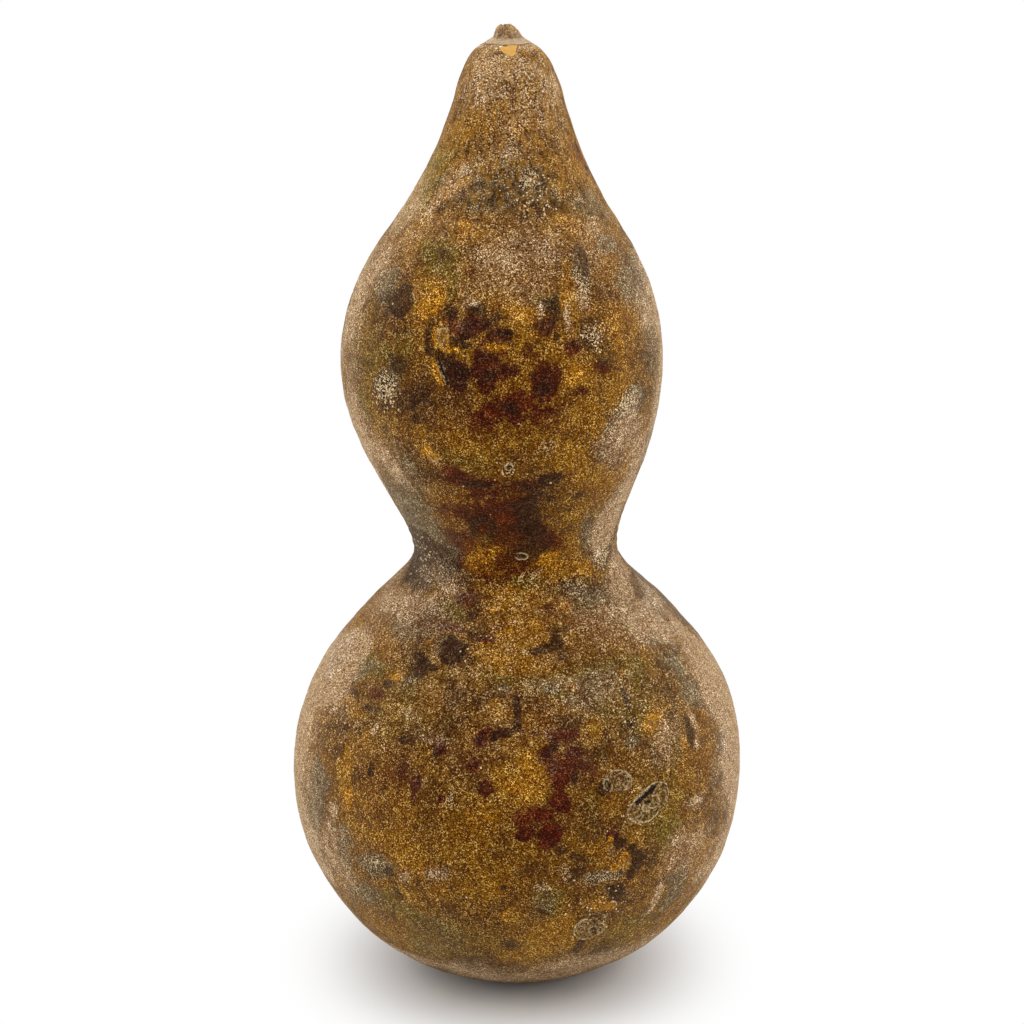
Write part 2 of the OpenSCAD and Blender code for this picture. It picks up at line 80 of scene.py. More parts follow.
# Stains on the skin: kind, side, height, half width, half height, turn and strength.
STAIN_MARKS = (
    # Neck.
    ("dust", 6, 290, 10, 8.5, 0, 0.65),
    ("dust", 44, 282, 6.5, 12, -4, 0.55),
    ("dust", -41, 282, 5.5, 9, 5, 0.5),
    ("orange", 3, 276, 9, 7, 0, 0.55),
    ("dust", 3, 265, 9, 3.5, 0, 0.5),
    ("dust", 19, 285, 3, 6.5, 0, 0.55),
    ("salt", 19, 283, 2, 3, 0, 0.5),
    ("grey", 5, 289, 2.5, 3, 0, 0.4),
    ("dust", -15, 281, 2, 0.5, 0, 0.9),
    ("grey", -52, 290, 3.5, 2.5, 14, 0.5),
    ("mould", 32, 287, 1.5, 3, -9, 0.35),
    ("ochre", -22, 288, 4.5, 7, 0, 0.5),
    ("ochre", -27, 271, 5.5, 9, 0, 0.4),
    ("red", 11, 273, 6.5, 6, 0, 0.35),
    ("mould", 5, 268, 2.5, 2.5, 0, 0.5),
    ("mould", -36, 264, 2, 2, 0, 0.55),
    ("grey", -2, 261, 4, 4.5, 0, 0.5),
    ("dust", 55, 276, 4, 15, -4, 0.4),
    # Shoulder of the upper bulb.
    ("dust", 49, 240, 8, 8, -23, 0.42),
    ("dust", -39, 245, 9.5, 7.5, 45, 0.35),
    ("dust", 3, 229, 12, 5.5, 0, 0.39),
    ("mould", -29, 224, 4.5, 3.5, 0, 0.5),
    ("grey", 4, 253, 13, 8, 0, 0.9),
    ("mould", 4, 254, 10, 6, 10, 0.55),
    ("mould", 23, 257, 6, 2.5, 14, 0.6),
    ("salt", 14, 256, 3.5, 2.5, 0, 0.8),
    ("mould", 33, 249, 3, 3, 0, 0.95),
    ("salt", 45, 252, 5, 2, -15, 0.6),
    ("grey", 59, 248, 11.5, 4.5, -21, 0.8),
    ("mould", 57, 247, 5.5, 2.5, -22, 0.45),
    ("dust", -43, 252, 17, 4.5, 44, 0.52),
    ("dust", -59, 237, 11.5, 5.5, 35, 0.45),
    ("orange", -36, 254, 8.5, 1.5, 45, 0.55),
    ("mould", -37, 250, 4.5, 1.5, 40, 0.6),
    ("grey", -52, 255, 3.5, 2.5, 0, 0.6),
    ("grey", -50, 248, 3.5, 3, 0, 0.45),
    ("salt", -56, 247, 4, 2.5, 0, 0.5),
    ("olive", -32, 236, 7.5, 5.5, 0, 0.9),
    ("mould", -32, 236, 5.5, 3.5, 0, 0.6),
    ("dust", 5, 237, 14, 7.5, 5, 0.45),
    ("orange", -20, 244, 7, 4.5, 31, 0.5),
    ("ochre", -32, 228, 9, 4, 9, 0.7),
    ("mould", -43, 226, 4, 3.5, 0, 0.7),
    ("grey", -56, 225, 6.5, 5, 0, 0.75),
    ("mould", -53, 222, 4.5, 2.5, 0, 0.45),
    ("grey", -64, 233, 5.5, 2.5, 0, 0.45),
    ("grey", 36, 232, 3.5, 8.5, 4, 0.9),
    ("mould", 37, 234, 2.5, 5, 0, 0.75),
    ("salt", 35, 228, 3, 5, 0, 0.7),
    ("grey", 56, 237, 5, 3, 0, 0.9),
    ("mould", 56, 237, 4, 2.5, 0, 0.5),
    ("mould", 28, 212, 1.5, 2, 0, 0.6),
    ("mould", 34, 214, 4, 4.5, 0, 1.1),
    ("salt", 36, 215, 2.5, 2.5, 0, 0.6),
    ("grey", 67, 225, 9, 9, -5, 0.85),
    ("mould", 74, 226, 8, 6.5, -3, 0.45),
    ("orange", 45, 214, 8.5, 7.5, 0, 0.45),
    ("ochre", 23, 228, 4.5, 2.5, 0, 0.45),
    ("orange", 34, 244, 6, 3, -28, 0.55),
    # Dark middle of the upper bulb.
    ("mould", -40, 195, 7, 6.5, 0, 0.5),
    ("mould", -42, 205, 6.5, 4.5, 0, 0.55),
    ("ochre", 36, 170, 8, 7, 0, 0.65),
    ("dust", 49, 180, 8, 11, 8, 0.65),
    ("mould", 20, 218, 5, 3, 0, 0.65),
    ("mould", -32, 194, 6.5, 6, 0, 0.55),
    ("red", -21, 190, 7, 4, 0, 0.45),
    ("salt", -43, 197, 4, 3.5, 0, 1.1),
    ("mould", -43, 196, 5, 4.5, 0, 0.7),
    ("grey", -43, 199, 5, 5, 0, 0.7),
    ("olive", -54, 207, 9.5, 11.5, 0, 0.55),
    ("olive", -39, 210, 7.5, 8.5, 0, 0.5),
    ("olive", -56, 191, 8.5, 9.5, 0, 0.55),
    ("grey", -66, 202, 7, 15, 0, 0.5),
    # Pale rim: dust, and painted rim light.
    ("dust", -80, 215, 7.5, 10.5, 0, 0.45),
    ("ochre", 36, 194, 10, 7.5, 0, 0.65),
    ("grey", 50, 190, 7, 6, 0, 0.85),
    ("salt", 47, 191, 4.5, 4.5, 0, 0.7),
    ("ochre", 37, 185, 4.5, 2.5, 0, 0.7),
    ("grey", 68, 204, 7, 12, 0, 0.5),
    # Pale rim: dust, and painted rim light.
    ("dust", 74, 209, 8, 14, 0, 0.45),
    ("ochre", 1, 212, 21, 15, 0, 1.0),
    ("mould", -8, 217, 9, 5, 0, 0.5),
    ("mould", -6, 205, 7, 6, 0, 0.5),
    ("mould", 14, 204, 5, 5, 0, 0.45),
    ("red", -10, 218, 6, 3.5, 0, 0.85),
    ("red", -1, 214, 4, 2.5, 0, 0.7),
    ("red", -5, 205, 7, 6.5, 0, 0.95),
    ("red", -16, 203, 3.5, 5.5, 19, 1.1),
    ("red", 15, 217, 4.5, 2.5, 0, 1.0),
    ("red", 13, 207, 5.5, 5, 0, 0.8),
    ("red", 13, 200, 4, 3, 0, 1.3),
    ("red", 26, 211, 3.5, 3, 0, 0.6),
    ("red", 28, 197, 3, 2, 0, 0.7),
    ("red", 37, 204, 3, 2.5, 0, 0.7),
    ("red", 5, 194, 14, 8, 0, 0.75),
    ("red", -20, 218, 4.5, 2.5, 0, 0.5),
    ("mould", -20, 221, 1.5, 1.5, 0, 1.1),
    ("mould", -10, 222, 4, 2, 0, 0.7),
    ("mould", 0, 220, 2.5, 2, 0, 0.7),
    ("mould", 1, 215, 2.5, 1, 0, 0.9),
    ("mould", -16, 214, 3.5, 1, 10, 1.2),
    ("mould", -13, 212, 2, 1, 0, 1.1),
    ("mould", -27, 215, 1.5, 4.5, 5, 1.0),
    ("mould", -21, 206, 1.5, 5, 23, 1.5),
    ("mould", -5, 203, 3.5, 3, 0, 0.6),
    ("mould", 18, 223, 6, 4, 0, 0.75),
    ("mould", 13, 200, 2.5, 2, 0, 1.0),
    ("mould", 20, 214, 1, 1, 0, 1.0),
    ("mould", 4, 194, 3, 2.5, 0, 0.8),
    ("olive", 18, 223, 7, 4.5, 0, 1.0),
    ("orange", -28, 224, 4, 5, 0, 0.8),
    ("orange", -23, 215, 3, 4, 0, 0.75),
    ("orange", -18, 211, 3, 1.5, 0, 0.6),
    ("orange", 5, 220, 4.5, 5.5, 10, 0.55),
    ("orange", -2, 211, 4, 1.5, 0, 0.6),
    ("orange", 10, 214, 4, 2.5, 0, 0.5),
    ("orange", 25, 224, 2.5, 4.5, 0, 0.6),
    ("orange", 26, 203, 5, 4, 0, 0.7),
    ("orange", -23, 203, 1.5, 3.5, 23, 0.9),
    ("dust", -12, 224, 3, 1, 0, 0.8),
    ("dust", 14, 222, 1, 2.5, 0, 0.6),
    ("dust", 25, 219, 1, 4, 0, 0.8),
    ("dust", 34, 223, 2.5, 3.5, 0, 0.55),
    ("salt", 35, 214, 3.5, 3, 0, 0.8),
    ("mould", -16, 203, 5, 4.5, 0, 1),
    ("mould", -43, 223, 7, 4, 0, 0.95),
    ("mould", -26, 223, 4.5, 3, 0, 0.95),
    ("mould", 39, 212, 5.5, 9, 0, 0.6),
    ("mould", -1, 218, 17.5, 5.5, 0, 0.3),
    ("mould", 11, 214, 4, 3.5, 0, 0.6),
    ("mould", -18, 211, 2, 4, 0, 0.9),
    ("mould", -26, 210, 2, 3, 0, 0.8),
    ("mould", 38, 216, 5, 3.5, 0, 0.8),
    ("mould", -38, 215, 5.5, 4, 0, 0.5),
    ("olive", -27, 228, 6, 6, 0, 0.9),
    ("mould", -26, 226, 4.5, 3.5, 0, 0.45),
    ("grey", -27, 120, 4, 2.5, 0, 0.4),
    ("red", 14, 81, 7.5, 10, 0, 0.45),
    ("mould", 17, 68, 6, 5, 0, 0.4),
    # Above the waist.
    ("red", -10, 171, 10.5, 3.5, 0, 0.8),
    ("mould", -11, 170, 6, 2, 0, 0.7),
    ("ochre", 28, 150, 9, 16, 0, 0.6),
    ("orange", 27, 151, 5, 10, 0, 0.25),
    ("orange", -10, 145, 8, 8, 0, 0.55),
    ("mould", 26, 154, 6, 8, 0, 0.45),
    ("dust", -48, 133, 10, 5, 0, 0.5),
    ("orange", 0, 132, 10, 3, 0, 0.5),
    ("orange", 17, 142, 5, 3.5, 0, 0.6),
    ("orange", -23, 141, 3.5, 4, 0, 0.6),
    ("ochre", -1, 142, 3, 5, 0, 0.6),
    ("ochre", -1, 184, 17.5, 5, 0, 0.6),
    ("ochre", 23, 178, 8.5, 5.5, 0, 0.8),
    ("red", 6, 187, 15, 4.5, 0, 0.5),
    ("orange", -28, 178, 2, 2, 0, 1.1),
    ("ochre", -25, 176, 2, 2, 0, 0.95),
    ("dust", -25, 176, 1.5, 1.5, 0, 0.9),
    ("olive", -12, 177, 9.5, 4, 0, 0.5),
    ("grey", -46, 170, 8, 14.5, -16, 0.65),
    ("grey", -44, 180, 4.5, 7.5, -16, 0.45),
    ("salt", 16, 181, 3, 2, 0, 0.5),
    ("mould", 17, 170, 3.5, 2.5, 0, 1.35),
    ("mould", 10, 167, 6.5, 2, -24, 0.55),
    ("mould", 26, 163, 7, 4, 0, 0.65),
    ("red", -2, 167, 15, 4.5, 0, 0.6),
    ("red", -16, 161, 13, 5.5, 0, 0.8),
    ("red", -1, 151, 14, 16, 0, 0.9),
    ("red", -14, 144, 5, 9.5, 0, 1.1),
    ("mould", -17, 156, 2.5, 1.5, 25, 1.3),
    ("mould", -12, 157, 2, 1.5, -20, 1.3),
    ("mould", -9, 153, 1.5, 3, 0, 1.4),
    ("mould", -13, 150, 2.5, 1.5, 0, 1.3),
    ("mould", -18, 152, 1.5, 2.5, 0, 1.2),
    ("mould", 9, 157, 5, 7.5, 0, 1.1),
    ("mould", 4, 161, 4, 2, 0, 0.9),
    ("mould", 8, 147, 4.5, 5.5, 0, 0.7),
    ("olive", 5, 135, 5, 2.5, 0, 0.65),
    ("salt", 9, 137, 3.5, 2.5, 0, 0.6),
    ("grey", -50, 152, 11, 16.5, 0, 0.95),
    ("mould", -63, 138, 13, 8.5, 0, 1.3),
    ("grey", -66, 139, 10, 8, 0, 0.9),
    ("mould", -40, 139, 6, 6, 0, 0.7),
    ("salt", -41, 139, 4, 4, 0, 0.35),
    ("red", -29, 146, 5, 8, 0, 0.85),
    ("olive", -43, 131, 8.5, 2.5, 0, 0.5),
    ("dust", -37, 131, 3, 1.5, 17, 0.85),
    ("mould", 57, 139, 6.5, 3.5, 0, 1.3),
    ("salt", 57, 139, 5, 2.5, 0, 1),
    ("grey", 43, 150, 5.5, 9, 0, 0.65),
    ("orange", 44, 138, 7.5, 3.5, 0, 0.45),
    ("orange", 25, 137, 7.5, 4.5, 0, 0.5),
    ("grey", 36, 131, 10.5, 3, 0, 0.6),
    ("mould", 29, 133, 4.5, 2, 0, 0.5),
    ("salt", 32, 133, 5.5, 2, 0, 0.6),
    ("mould", -19, 129, 4.5, 2.5, 0, 0.5),
    ("red", -24, 130, 6, 2.5, 0, 0.65),
    ("mould", -20, 127, 1.5, 1.5, 0, 1),
    ("ochre", 6, 130, 11, 2.5, 0, 0.65),
    ("orange", 0, 124, 15, 3.5, 0, 0.5),
    # Shoulder of the lower bulb.
    ("olive", -36, 102, 19, 13, 0, 0.45),
    ("olive", 33, 106, 19, 13, 0, 0.55),
    ("grey", -51, 120, 17, 5.5, 0, 0.6),
    ("grey", 20, 108, 13, 4.5, 0, 0.45),
    ("olive", -57, 107, 10, 4.5, 26, 0.85),
    ("grey", -57, 107, 8.5, 4, 26, 0.6),
    ("mould", -57, 101, 4.5, 1.5, 0, 0.5),
    ("red", -47, 103, 5.5, 2, 0, 0.55),
    ("ochre", -55, 97, 8.5, 3, 0, 0.75),
    ("orange", -55, 98, 5.5, 2, 0, 0.45),
    ("mould", -25, 117, 5, 5.5, 0, 1.25),
    ("mould", -27, 120, 1.5, 1.5, 0, 1.4),
    ("red", -24, 118, 1.5, 1.5, 0, 0.6),
    ("grey", -24, 117, 3, 3.5, 0, 0.5),
    ("mould", -35, 111, 3, 3.5, 0, 1.1),
    ("mould", -37, 114, 1.5, 1.5, 0, 1.4),
    ("grey", -37, 108, 2, 2.5, 0, 0.7),
    ("mould", -44, 106, 2, 1.5, 0, 0.95),
    ("mould", -30, 112, 1.5, 1, 0, 1.2),
    ("orange", -42, 108, 2, 1.5, 0, 0.8),
    ("orange", -35, 119, 0.5, 3, -24, 0.6),
    ("dust", -31, 116, 1, 2, -29, 0.6),
    ("olive", -31, 127, 5.5, 2.5, 0, 0.8),
    ("red", -27, 130, 4.5, 1.5, 0, 1),
    ("mould", -21, 127, 1, 2, 0, 1.2),
    ("mould", -17, 123, 3.5, 2.5, 0, 0.75),
    ("red", -28, 123, 5, 1.5, 0, 0.85),
    ("red", -13, 121, 3.5, 1.5, 0, 0.95),
    ("red", -10, 124, 2.5, 1.5, 0, 0.7),
    ("orange", -9, 129, 9, 2.5, 0, 0.5),
    ("ochre", -4, 120, 10.5, 9, 0, 0.75),
    ("orange", -9, 117, 6, 2.5, 0, 0.5),
    ("ochre", 1, 129, 12, 3, 0, 0.7),
    ("mould", 9, 119, 4.5, 1.5, 0, 0.95),
    ("mould", 14, 120, 2, 2, 0, 1.05),
    ("mould", 14, 117, 1.5, 1.5, 0, 0.85),
    ("mould", 17, 123, 4.5, 1.5, 0, 0.65),
    ("mould", 8, 124, 1, 1, 0, 0.9),
    ("orange", 23, 128, 2, 1.5, 0, 0.8),
    ("red", 15, 128, 3, 1.5, 0, 0.75),
    ("grey", 41, 128, 9.5, 3.5, 0, 0.8),
    ("olive", 41, 127, 10, 3.5, 0, 0.5),
    ("olive", 48, 123, 5, 4.5, 0, 0.7),
    ("grey", 58, 116, 6, 3, 0, 0.75),
    ("grey", 58, 108, 4.5, 4.5, 15, 0.85),
    ("grey", 59, 101, 5.5, 4.5, 8, 0.95),
    ("olive", 59, 108, 5.5, 7, 15, 0.5),
    ("orange", 47, 114, 2.5, 3.5, 0, 0.45),
    ("grey", 9, 109, 2.5, 1.5, 0, 0.9),
    ("orange", 16, 109, 1, 1, 0, 0.9),
    ("orange", 35, 110, 1, 1, 0, 0.9),
    ("mould", 33, 104, 1.5, 3.5, 0, 0.65),
    ("ochre", 44, 100, 4.5, 4, 0, 0.4),
    ("orange", 39, 97, 3.5, 2.5, 0, 1.3),
    ("mould", 32, 98, 1.5, 1.5, 0, 0.7),
    ("grey", 32, 93, 2.5, 2.5, 0, 0.7),
    ("mould", 51, 90, 2, 5.5, 0, 0.65),
    ("mould", 67, 82, 4, 4, 0, 1),
    ("grey", 67, 82, 4.5, 5, 0, 1),
    ("dust", 54, 93, 1.5, 4, 7, 0.8),
    ("dust", 53, 86, 1.5, 1.5, 0, 0.85),
    ("ochre", -2, 109, 6, 2.5, 0, 0.4),
    ("grey", -4, 109, 2, 2, 0, 0.75),
    ("mould", -1, 104, 1, 3.5, 0, 1.3),
    ("mould", -1, 100, 1, 2, 0, 1.4),
    ("mould", -4, 98, 2.5, 1, 0, 1.3),
    ("mould", -7, 97, 1.5, 1, 0, 1.1),
    ("red", -9, 98, 2, 1, 0, 0.8),
    ("ochre", -7, 103, 2.5, 3, 0, 0.85),
    ("salt", -7, 103, 2.5, 3, 0, 0.35),
    ("ochre", -44, 91, 3, 4.5, 0, 0.6),
    ("salt", -37, 90, 2.5, 2.5, 0, 0.5),
    ("dust", -42, 94, 1, 2.5, -7, 0.7),
    ("mould", -32, 93, 1.5, 1.5, 0, 0.7),
    ("dust", -32, 100, 3.5, 1, 0, 0.5),
    ("mould", -46, 99, 5.5, 1.5, 0, 0.6),
    # Middle of the lower bulb.
    ("mould", -24, 86, 21, 17.5, 0, 0.3),
    ("mould", -15, 67, 14, 9.5, 0, 0.35),
    ("mould", 13, 56, 8, 7, 0, 0.5),
    ("mould", 23, 92, 9, 9, 0, 0.35),
    ("mould", -54, 93, 7.5, 11, 0, 0.35),
    ("mould", -59, 71, 7.5, 9.5, 0, 0.4),
    ("mould", 31, 82, 3.5, 3, 0, 0.6),
    ("grey", 26, 109, 9.5, 4.5, 0, 0.5),
    ("dust", 25, 107, 11, 4.5, 0, 0.35),
    ("dust", 41, 90, 6.5, 7.5, 0, 0.45),
    ("dust", 11, 110, 8, 2.5, 0, 0.4),
    ("olive", 6, 111, 18, 7, 0, 0.5),
    ("mould", -40, 124, 9.5, 4, 0, 0.4),
    ("ochre", -0, 84, 9, 9, 0, 1.25),
    ("orange", -2, 83, 6, 6, 0, 0.3),
    ("red", 2, 86, 1, 1.5, 0, 0.85),
    ("red", 4, 84, 1.5, 1, 0, 0.6),
    ("red", -1, 80, 1.5, 1, 0, 0.6),
    ("ochre", -12, 69, 18.5, 19, 0, 0.55),
    ("red", 7, 91, 3, 2.5, 0, 0.95),
    ("red", 10, 86, 3.5, 5, 0, 1.15),
    ("red", 10, 78, 3, 4, 0, 1.05),
    ("red", 6, 74, 2, 1.5, 0, 1.25),
    ("red", 1, 69, 2.5, 2, 0, 1.15),
    ("red", 7, 67, 5, 4, 0, 0.85),
    ("red", 3, 74, 6, 3, 0, 0.7),
    ("red", 15, 90, 6, 6, 0, 0.7),
    ("red", 11, 97, 8, 2.5, 0, 0.6),
    ("red", 18, 85, 4.5, 3.5, 0, 0.5),
    ("mould", 7, 92, 1.5, 1.5, 0, 0.9),
    ("mould", 9, 94, 1.5, 2, 0, 0.85),
    ("mould", 14, 85, 1.5, 2.5, 0, 0.6),
    ("mould", 10, 63, 3.5, 2.5, 0, 0.6),
    ("ochre", 20, 97, 4.5, 5.5, 0, 0.75),
    ("olive", 22, 93, 7, 7, 0, 0.45),
    ("red", -21, 93, 2, 2.5, 0, 0.95),
    ("mould", -22, 91, 1.5, 1, 0, 1),
    ("red", -11, 96, 2, 2, 0, 1),
    ("mould", -11, 96, 1, 1, 0, 0.9),
    ("red", -13, 89, 5, 3.5, 0, 0.6),
    ("red", -26, 81, 1.5, 2, 0, 1.1),
    ("red", -30, 85, 2, 2.5, 0, 0.7),
    ("red", -32, 83, 6.5, 6.5, 0, 0.4),
    ("mould", -40, 82, 1, 2, 0, 1),
    ("red", -8, 82, 2, 2.5, 0, 1.05),
    ("red", -19, 78, 1.5, 1, 0, 0.9),
    ("red", -26, 77, 1.5, 3, 0, 0.6),
    ("mould", -29, 93, 4, 1.5, 0, 0.5),
    ("dust", -24, 94, 4, 1, 0, 0.45),
    ("salt", -17, 79, 2.5, 2.5, 0, 0.5),
    ("orange", -9, 74, 5.5, 3.5, 0, 0.5),
    ("mould", 22, 81, 2.5, 2.5, 0, 0.8),
    ("mould", 18, 72, 7.5, 7.5, 0, 0.45),
    ("olive", 18, 78, 7, 9, 0, 0.45),
    ("ochre", -49, 78, 4, 9, 0, 0.9),
    ("orange", -47, 72, 2.5, 2, 0, 0.85),
    ("dust", -53, 66, 2, 2.5, 0, 0.7),
    ("ochre", -38, 64, 9.5, 5, 0, 0.6),
    ("grey", -60, 74, 5.5, 6, 0, 1.1),
    ("grey", -62, 65, 5.5, 7.5, 0, 1.05),
    ("grey", -65, 54, 5, 6.5, 0, 0.9),
    ("olive", 38, 74, 11, 17, 0, 0.55),
    ("ochre", 40, 73, 7.5, 12.5, 0, 0.35),
    ("olive", 40, 62, 6, 6.5, 0, 0.75),
    ("dust", 50, 70, 4, 2, 0, 0.7),
    ("ochre", 48, 77, 5.5, 5.5, 0, 0.45),
    ("orange", 48, 86, 1.5, 3.5, 0, 0.5),
    ("orange", -0, 84, 7.5, 7.5, 0, 0.55),
    # Foot.
    ("red", 24, 67, 2.5, 2.5, 0, 0.9),
    ("mould", 25, 64, 3, 2, 0, 1),
    ("mould", 31, 56, 2, 3, 0, 1.25),
    ("mould", 29, 60, 2, 2, 0, 1.05),
    ("mould", 29, 52, 2, 2, 0, 0.9),
    ("orange", 23, 64, 1, 2, 0, 1.3),
    ("orange", 24, 55, 1, 2, 0, 1.2),
    ("orange", 27, 57, 2, 3, 0, 1.1),
    ("ochre", 18, 60, 2.5, 3.5, 0, 0.7),
    ("mould", 35, 56, 3.5, 3, 0, 0.6),
    ("grey", 46, 41, 6.5, 8.5, 0, 1.05),
    ("dust", 39, 40, 1.5, 6, -12, 0.9),
    ("dust", 49, 54, 9.5, 9, 0, 0.6),
    ("grey", 21, 52, 7.5, 2.5, 0, 0.75),
    ("salt", 21, 51, 6.5, 2, 0, 0.5),
    ("mould", 25, 47, 4, 2.5, 0, 0.8),
    ("mould", 33, 46, 7, 4, 0, 0.4),
    ("orange", 22, 42, 2.5, 2, 0, 1.6),
    ("ochre", 6, 31, 10.5, 12, 0, 1),
    ("orange", 8, 33, 7, 8, 0, 0.35),
    ("mould", -2, 29, 4.5, 3, 0, 0.6),
    ("mould", 18, 26, 1.5, 5, 0, 0.9),
    ("olive", 7, 46, 6, 7, 0, 0.55),
    ("grey", 6, 46, 4, 5.5, 0, 0.55),
    ("salt", 6, 51, 2, 2, 0, 0.8),
    ("mould", 5, 41, 3.5, 2.5, 0, 0.65),
    ("salt", 12, 55, 1.5, 3, 0, 0.6),
    ("grey", -48, 56, 7.5, 8.5, 0, 0.65),
    ("grey", -38, 52, 7, 4.5, 0, 0.95),
    ("salt", -38, 53, 4, 2, 0, 0.6),
    ("grey", -45, 40, 9, 7, 0, 0.65),
    ("mould", -34, 51, 1.5, 2, 0, 0.8),
    ("olive", -33, 40, 9.5, 7, 0, 0.6),
    ("olive", -25, 33, 14.5, 13, 0, 0.5),
    ("grey", -25, 32, 11.5, 9, 0, 0.35),
    ("ochre", -27, 61, 9, 8.5, 0, 0.65),
    ("orange", -24, 55, 1, 3, 0, 0.7),
    ("ochre", -17, 61, 2.5, 4.5, 0, 0.8),
    ("dust", -20, 54, 3.5, 2, 0, 0.5),
    ("dust", -29, 51, 2, 2, 0, 0.65),
    ("dust", -54, 50, 9.5, 11.5, 0, 0.6),
    ("mould", -32, 44, 1.5, 3, 0, 0.6),
    ("ochre", -9, 52, 12, 10.5, 0, 0.55),
    ("mould", -3, 51, 1.5, 1.5, 0, 0.7),
    ("dust", -17, 15, 10.5, 7, 0, 0.55),
    ("orange", -3, 40, 1.5, 2, 0, 0.6),
    ("olive", -10, 29, 7.5, 6.5, 0, 0.45),
    ("mould", 28, 21, 10, 6, 0, 0.45),
    ("olive", 33, 30, 15.5, 11.5, 0, 0.5),
)

# Pale zones, mostly painted light: pale rims at the sides as the side lamps and the white surround light
# them, upward-facing shoulders and the seat as lit from above, and the foot's edge as lit from the floor;
# partly dust as well. Also weathered zones of the back: the same columns.
# The dust kind here carries painted rim light, painted light from above and painted floor bounce.
DUST_AND_RIM_LIGHT_MARKS = (
    ("dust", 80, 98, 17, 17, 10, 1.2),
    ("dust", 84, 72, 23, 20, 0, 1.3),
    ("dust", 76, 42, 17, 19, -15, 1.1),
    ("dust", 88, 24, 22, 12, 10, 0.9),
    ("dust", 104, 58, 12, 22, 25, 0.6),
    ("dust", -78, 100, 17, 17, -10, 1.2),
    ("dust", -83, 78, 20, 18, 0, 1.2),
    ("dust", -76, 50, 18, 19, 15, 1.0),
    ("dust", -86, 25, 22, 12, -10, 0.9),
    ("dust", -106, 74, 12, 18, -20, 0.6),
    ("dust", -66, 124, 24, 8, 0, 0.6),
    ("dust", 66, 121, 24, 10, 0, 0.7),
    ("dust", 70, 92, 8, 14, 0, 0.5),
    ("dust", -38, 13, 30, 8, 0, 0.7),
    ("dust", 38, 15, 30, 9, 0, 0.8),
    ("dust", 0, 9, 26, 6, 0, 0.7),
    ("dust", 62, 172, 8, 14, 0, 0.7),
    ("dust", 64, 152, 9, 13, 0, 1.0),
    ("dust", 0, 290, 12, 5, 0, 1.2),
    ("dust", 82, 214, 14, 20, 10, 0.75),
    ("dust", 86, 184, 16, 20, -15, 0.75),
    ("dust", -80, 220, 14, 18, -15, 0.75),
    ("dust", -87, 190, 16, 18, 10, 0.75),
    ("dust", 4, 278, 12, 14, 0, 0.5),
    ("dust", 180, 270, 20, 20, 0, 0.6),
    ("dust", 66, 172, 6, 9, 0, 0.8),
    ("dust", 64, 130, 13, 5, 20, 0.9),
)


class GourdSkinSizes(bpy.types.PropertyGroup):
    """Sizes of the skin and of its unevenness."""

    columns: IntProperty(name="Columns", description="Points round the skin", default=306, min=96, max=360)
    rows: IntProperty(name="Rows", description="Rings from the foot to the seat", default=282,
                      min=90, max=290)
    lump: FloatProperty(
        name="Lumps", description="Height of the skin's broad lumps", default=0.00035, unit="LENGTH"
    )
    ripple: FloatProperty(
        name="Ripples", description="Height of its narrow ripples", default=0.00012, unit="LENGTH"
    )
    pits: FloatProperty(
        name="Pits", description="Height of its finest unevenness", default=0.00006, unit="LENGTH"
    )
    fibre: FloatProperty(
        name="Fibres", description="Height of the ribs that run up the neck", default=0.00012, unit="LENGTH"
    )
    crust: FloatProperty(
        name="Crusts", description="Thickness of the crusts of dried sap", default=0.0004, unit="LENGTH"
    )
    speck: FloatProperty(
        name="Specks", description="Mean width of a speck of mould or salt", default=0.0004, unit="LENGTH"
    )
    specks: IntProperty(name="Speck count", description="Specks all over the skin", default=1500, min=0, max=4000)


def tone(red, green, blue):
    """A linear colour from three display values of 0 to 255."""
    shares = (value / 255 for value in (red, green, blue))
    return tuple(s / 12.92 if s <= 0.04045 else ((s + 0.055) / 1.055) ** 2.4 for s in shares)


def colour_property(name, description, default):
    """A colour that the sidebar shows, with a linear default."""
    return FloatVectorProperty(
        name=name, description=description, subtype="COLOR", size=3, min=0, max=1, default=default
    )


class GourdColours(bpy.types.PropertyGroup):
    """Colours of the gourd's finishes."""

    light: colour_property("Light brown", "Clean skin", tone(142, 92, 10))
    dark: colour_property("Dark brown", "Weathered skin", tone(90, 52, 4))
    ochre: colour_property("Ochre", "Yellowed skin", tone(166, 115, 10))
    red: colour_property("Red brown", "Skin soaked with dried sap", tone(108, 35, 1))
    grey: colour_property("Grey bloom", "Grey-green bloom of mould", tone(118, 106, 78))
    olive: colour_property("Olive", "Greenish skin", tone(122, 102, 20))
    mould: colour_property("Mould", "Black-brown mould stains", tone(56, 26, 8))
    orange: colour_property("Orange", "Bare rind where the skin flaked off", tone(196, 136, 24))
    # Dust; the same colour also paints the pale lit rims, shoulders and foot edge of the side marks.
    dust: colour_property("Dust", "Pale dust on the skin", tone(206, 176, 134))
    # Salt tone: pale salt and grit, also a painted glint on pale grains and a painted highlight on crust ridges;
    # also the sheen's tint.
    glint: colour_property("Salt", "Pale specks and crust edges", tone(252, 224, 172))
    pore: colour_property("Pores", "Tint that darkens the pores", tone(134, 88, 28))
    inside: colour_property("Inside", "Bare wood on the rind's inner side", tone(206, 182, 138))
    stem: colour_property("Stem", "Corky stem", tone(190, 150, 88))
    break_: colour_property("Break", "Fresh fibres of the break", tone(228, 174, 92))
    pith: colour_property("Pith", "Soft core of the stem", tone(222, 202, 160))
    button: colour_property("Button", "Corky button of the blossom", tone(140, 110, 76))
    lining: colour_property("Lining", "Spongy dried flesh", tone(232, 220, 190))
    web: colour_property("Web", "Papery partitions", tone(236, 224, 196))
    pulp: colour_property("Pulp", "Shrunken pulp", tone(208, 180, 130))
    seeds: colour_property("Seeds", "Seed coats", tone(206, 176, 126))
    strands: colour_property("Strands", "Dried fibres", tone(198, 168, 116))


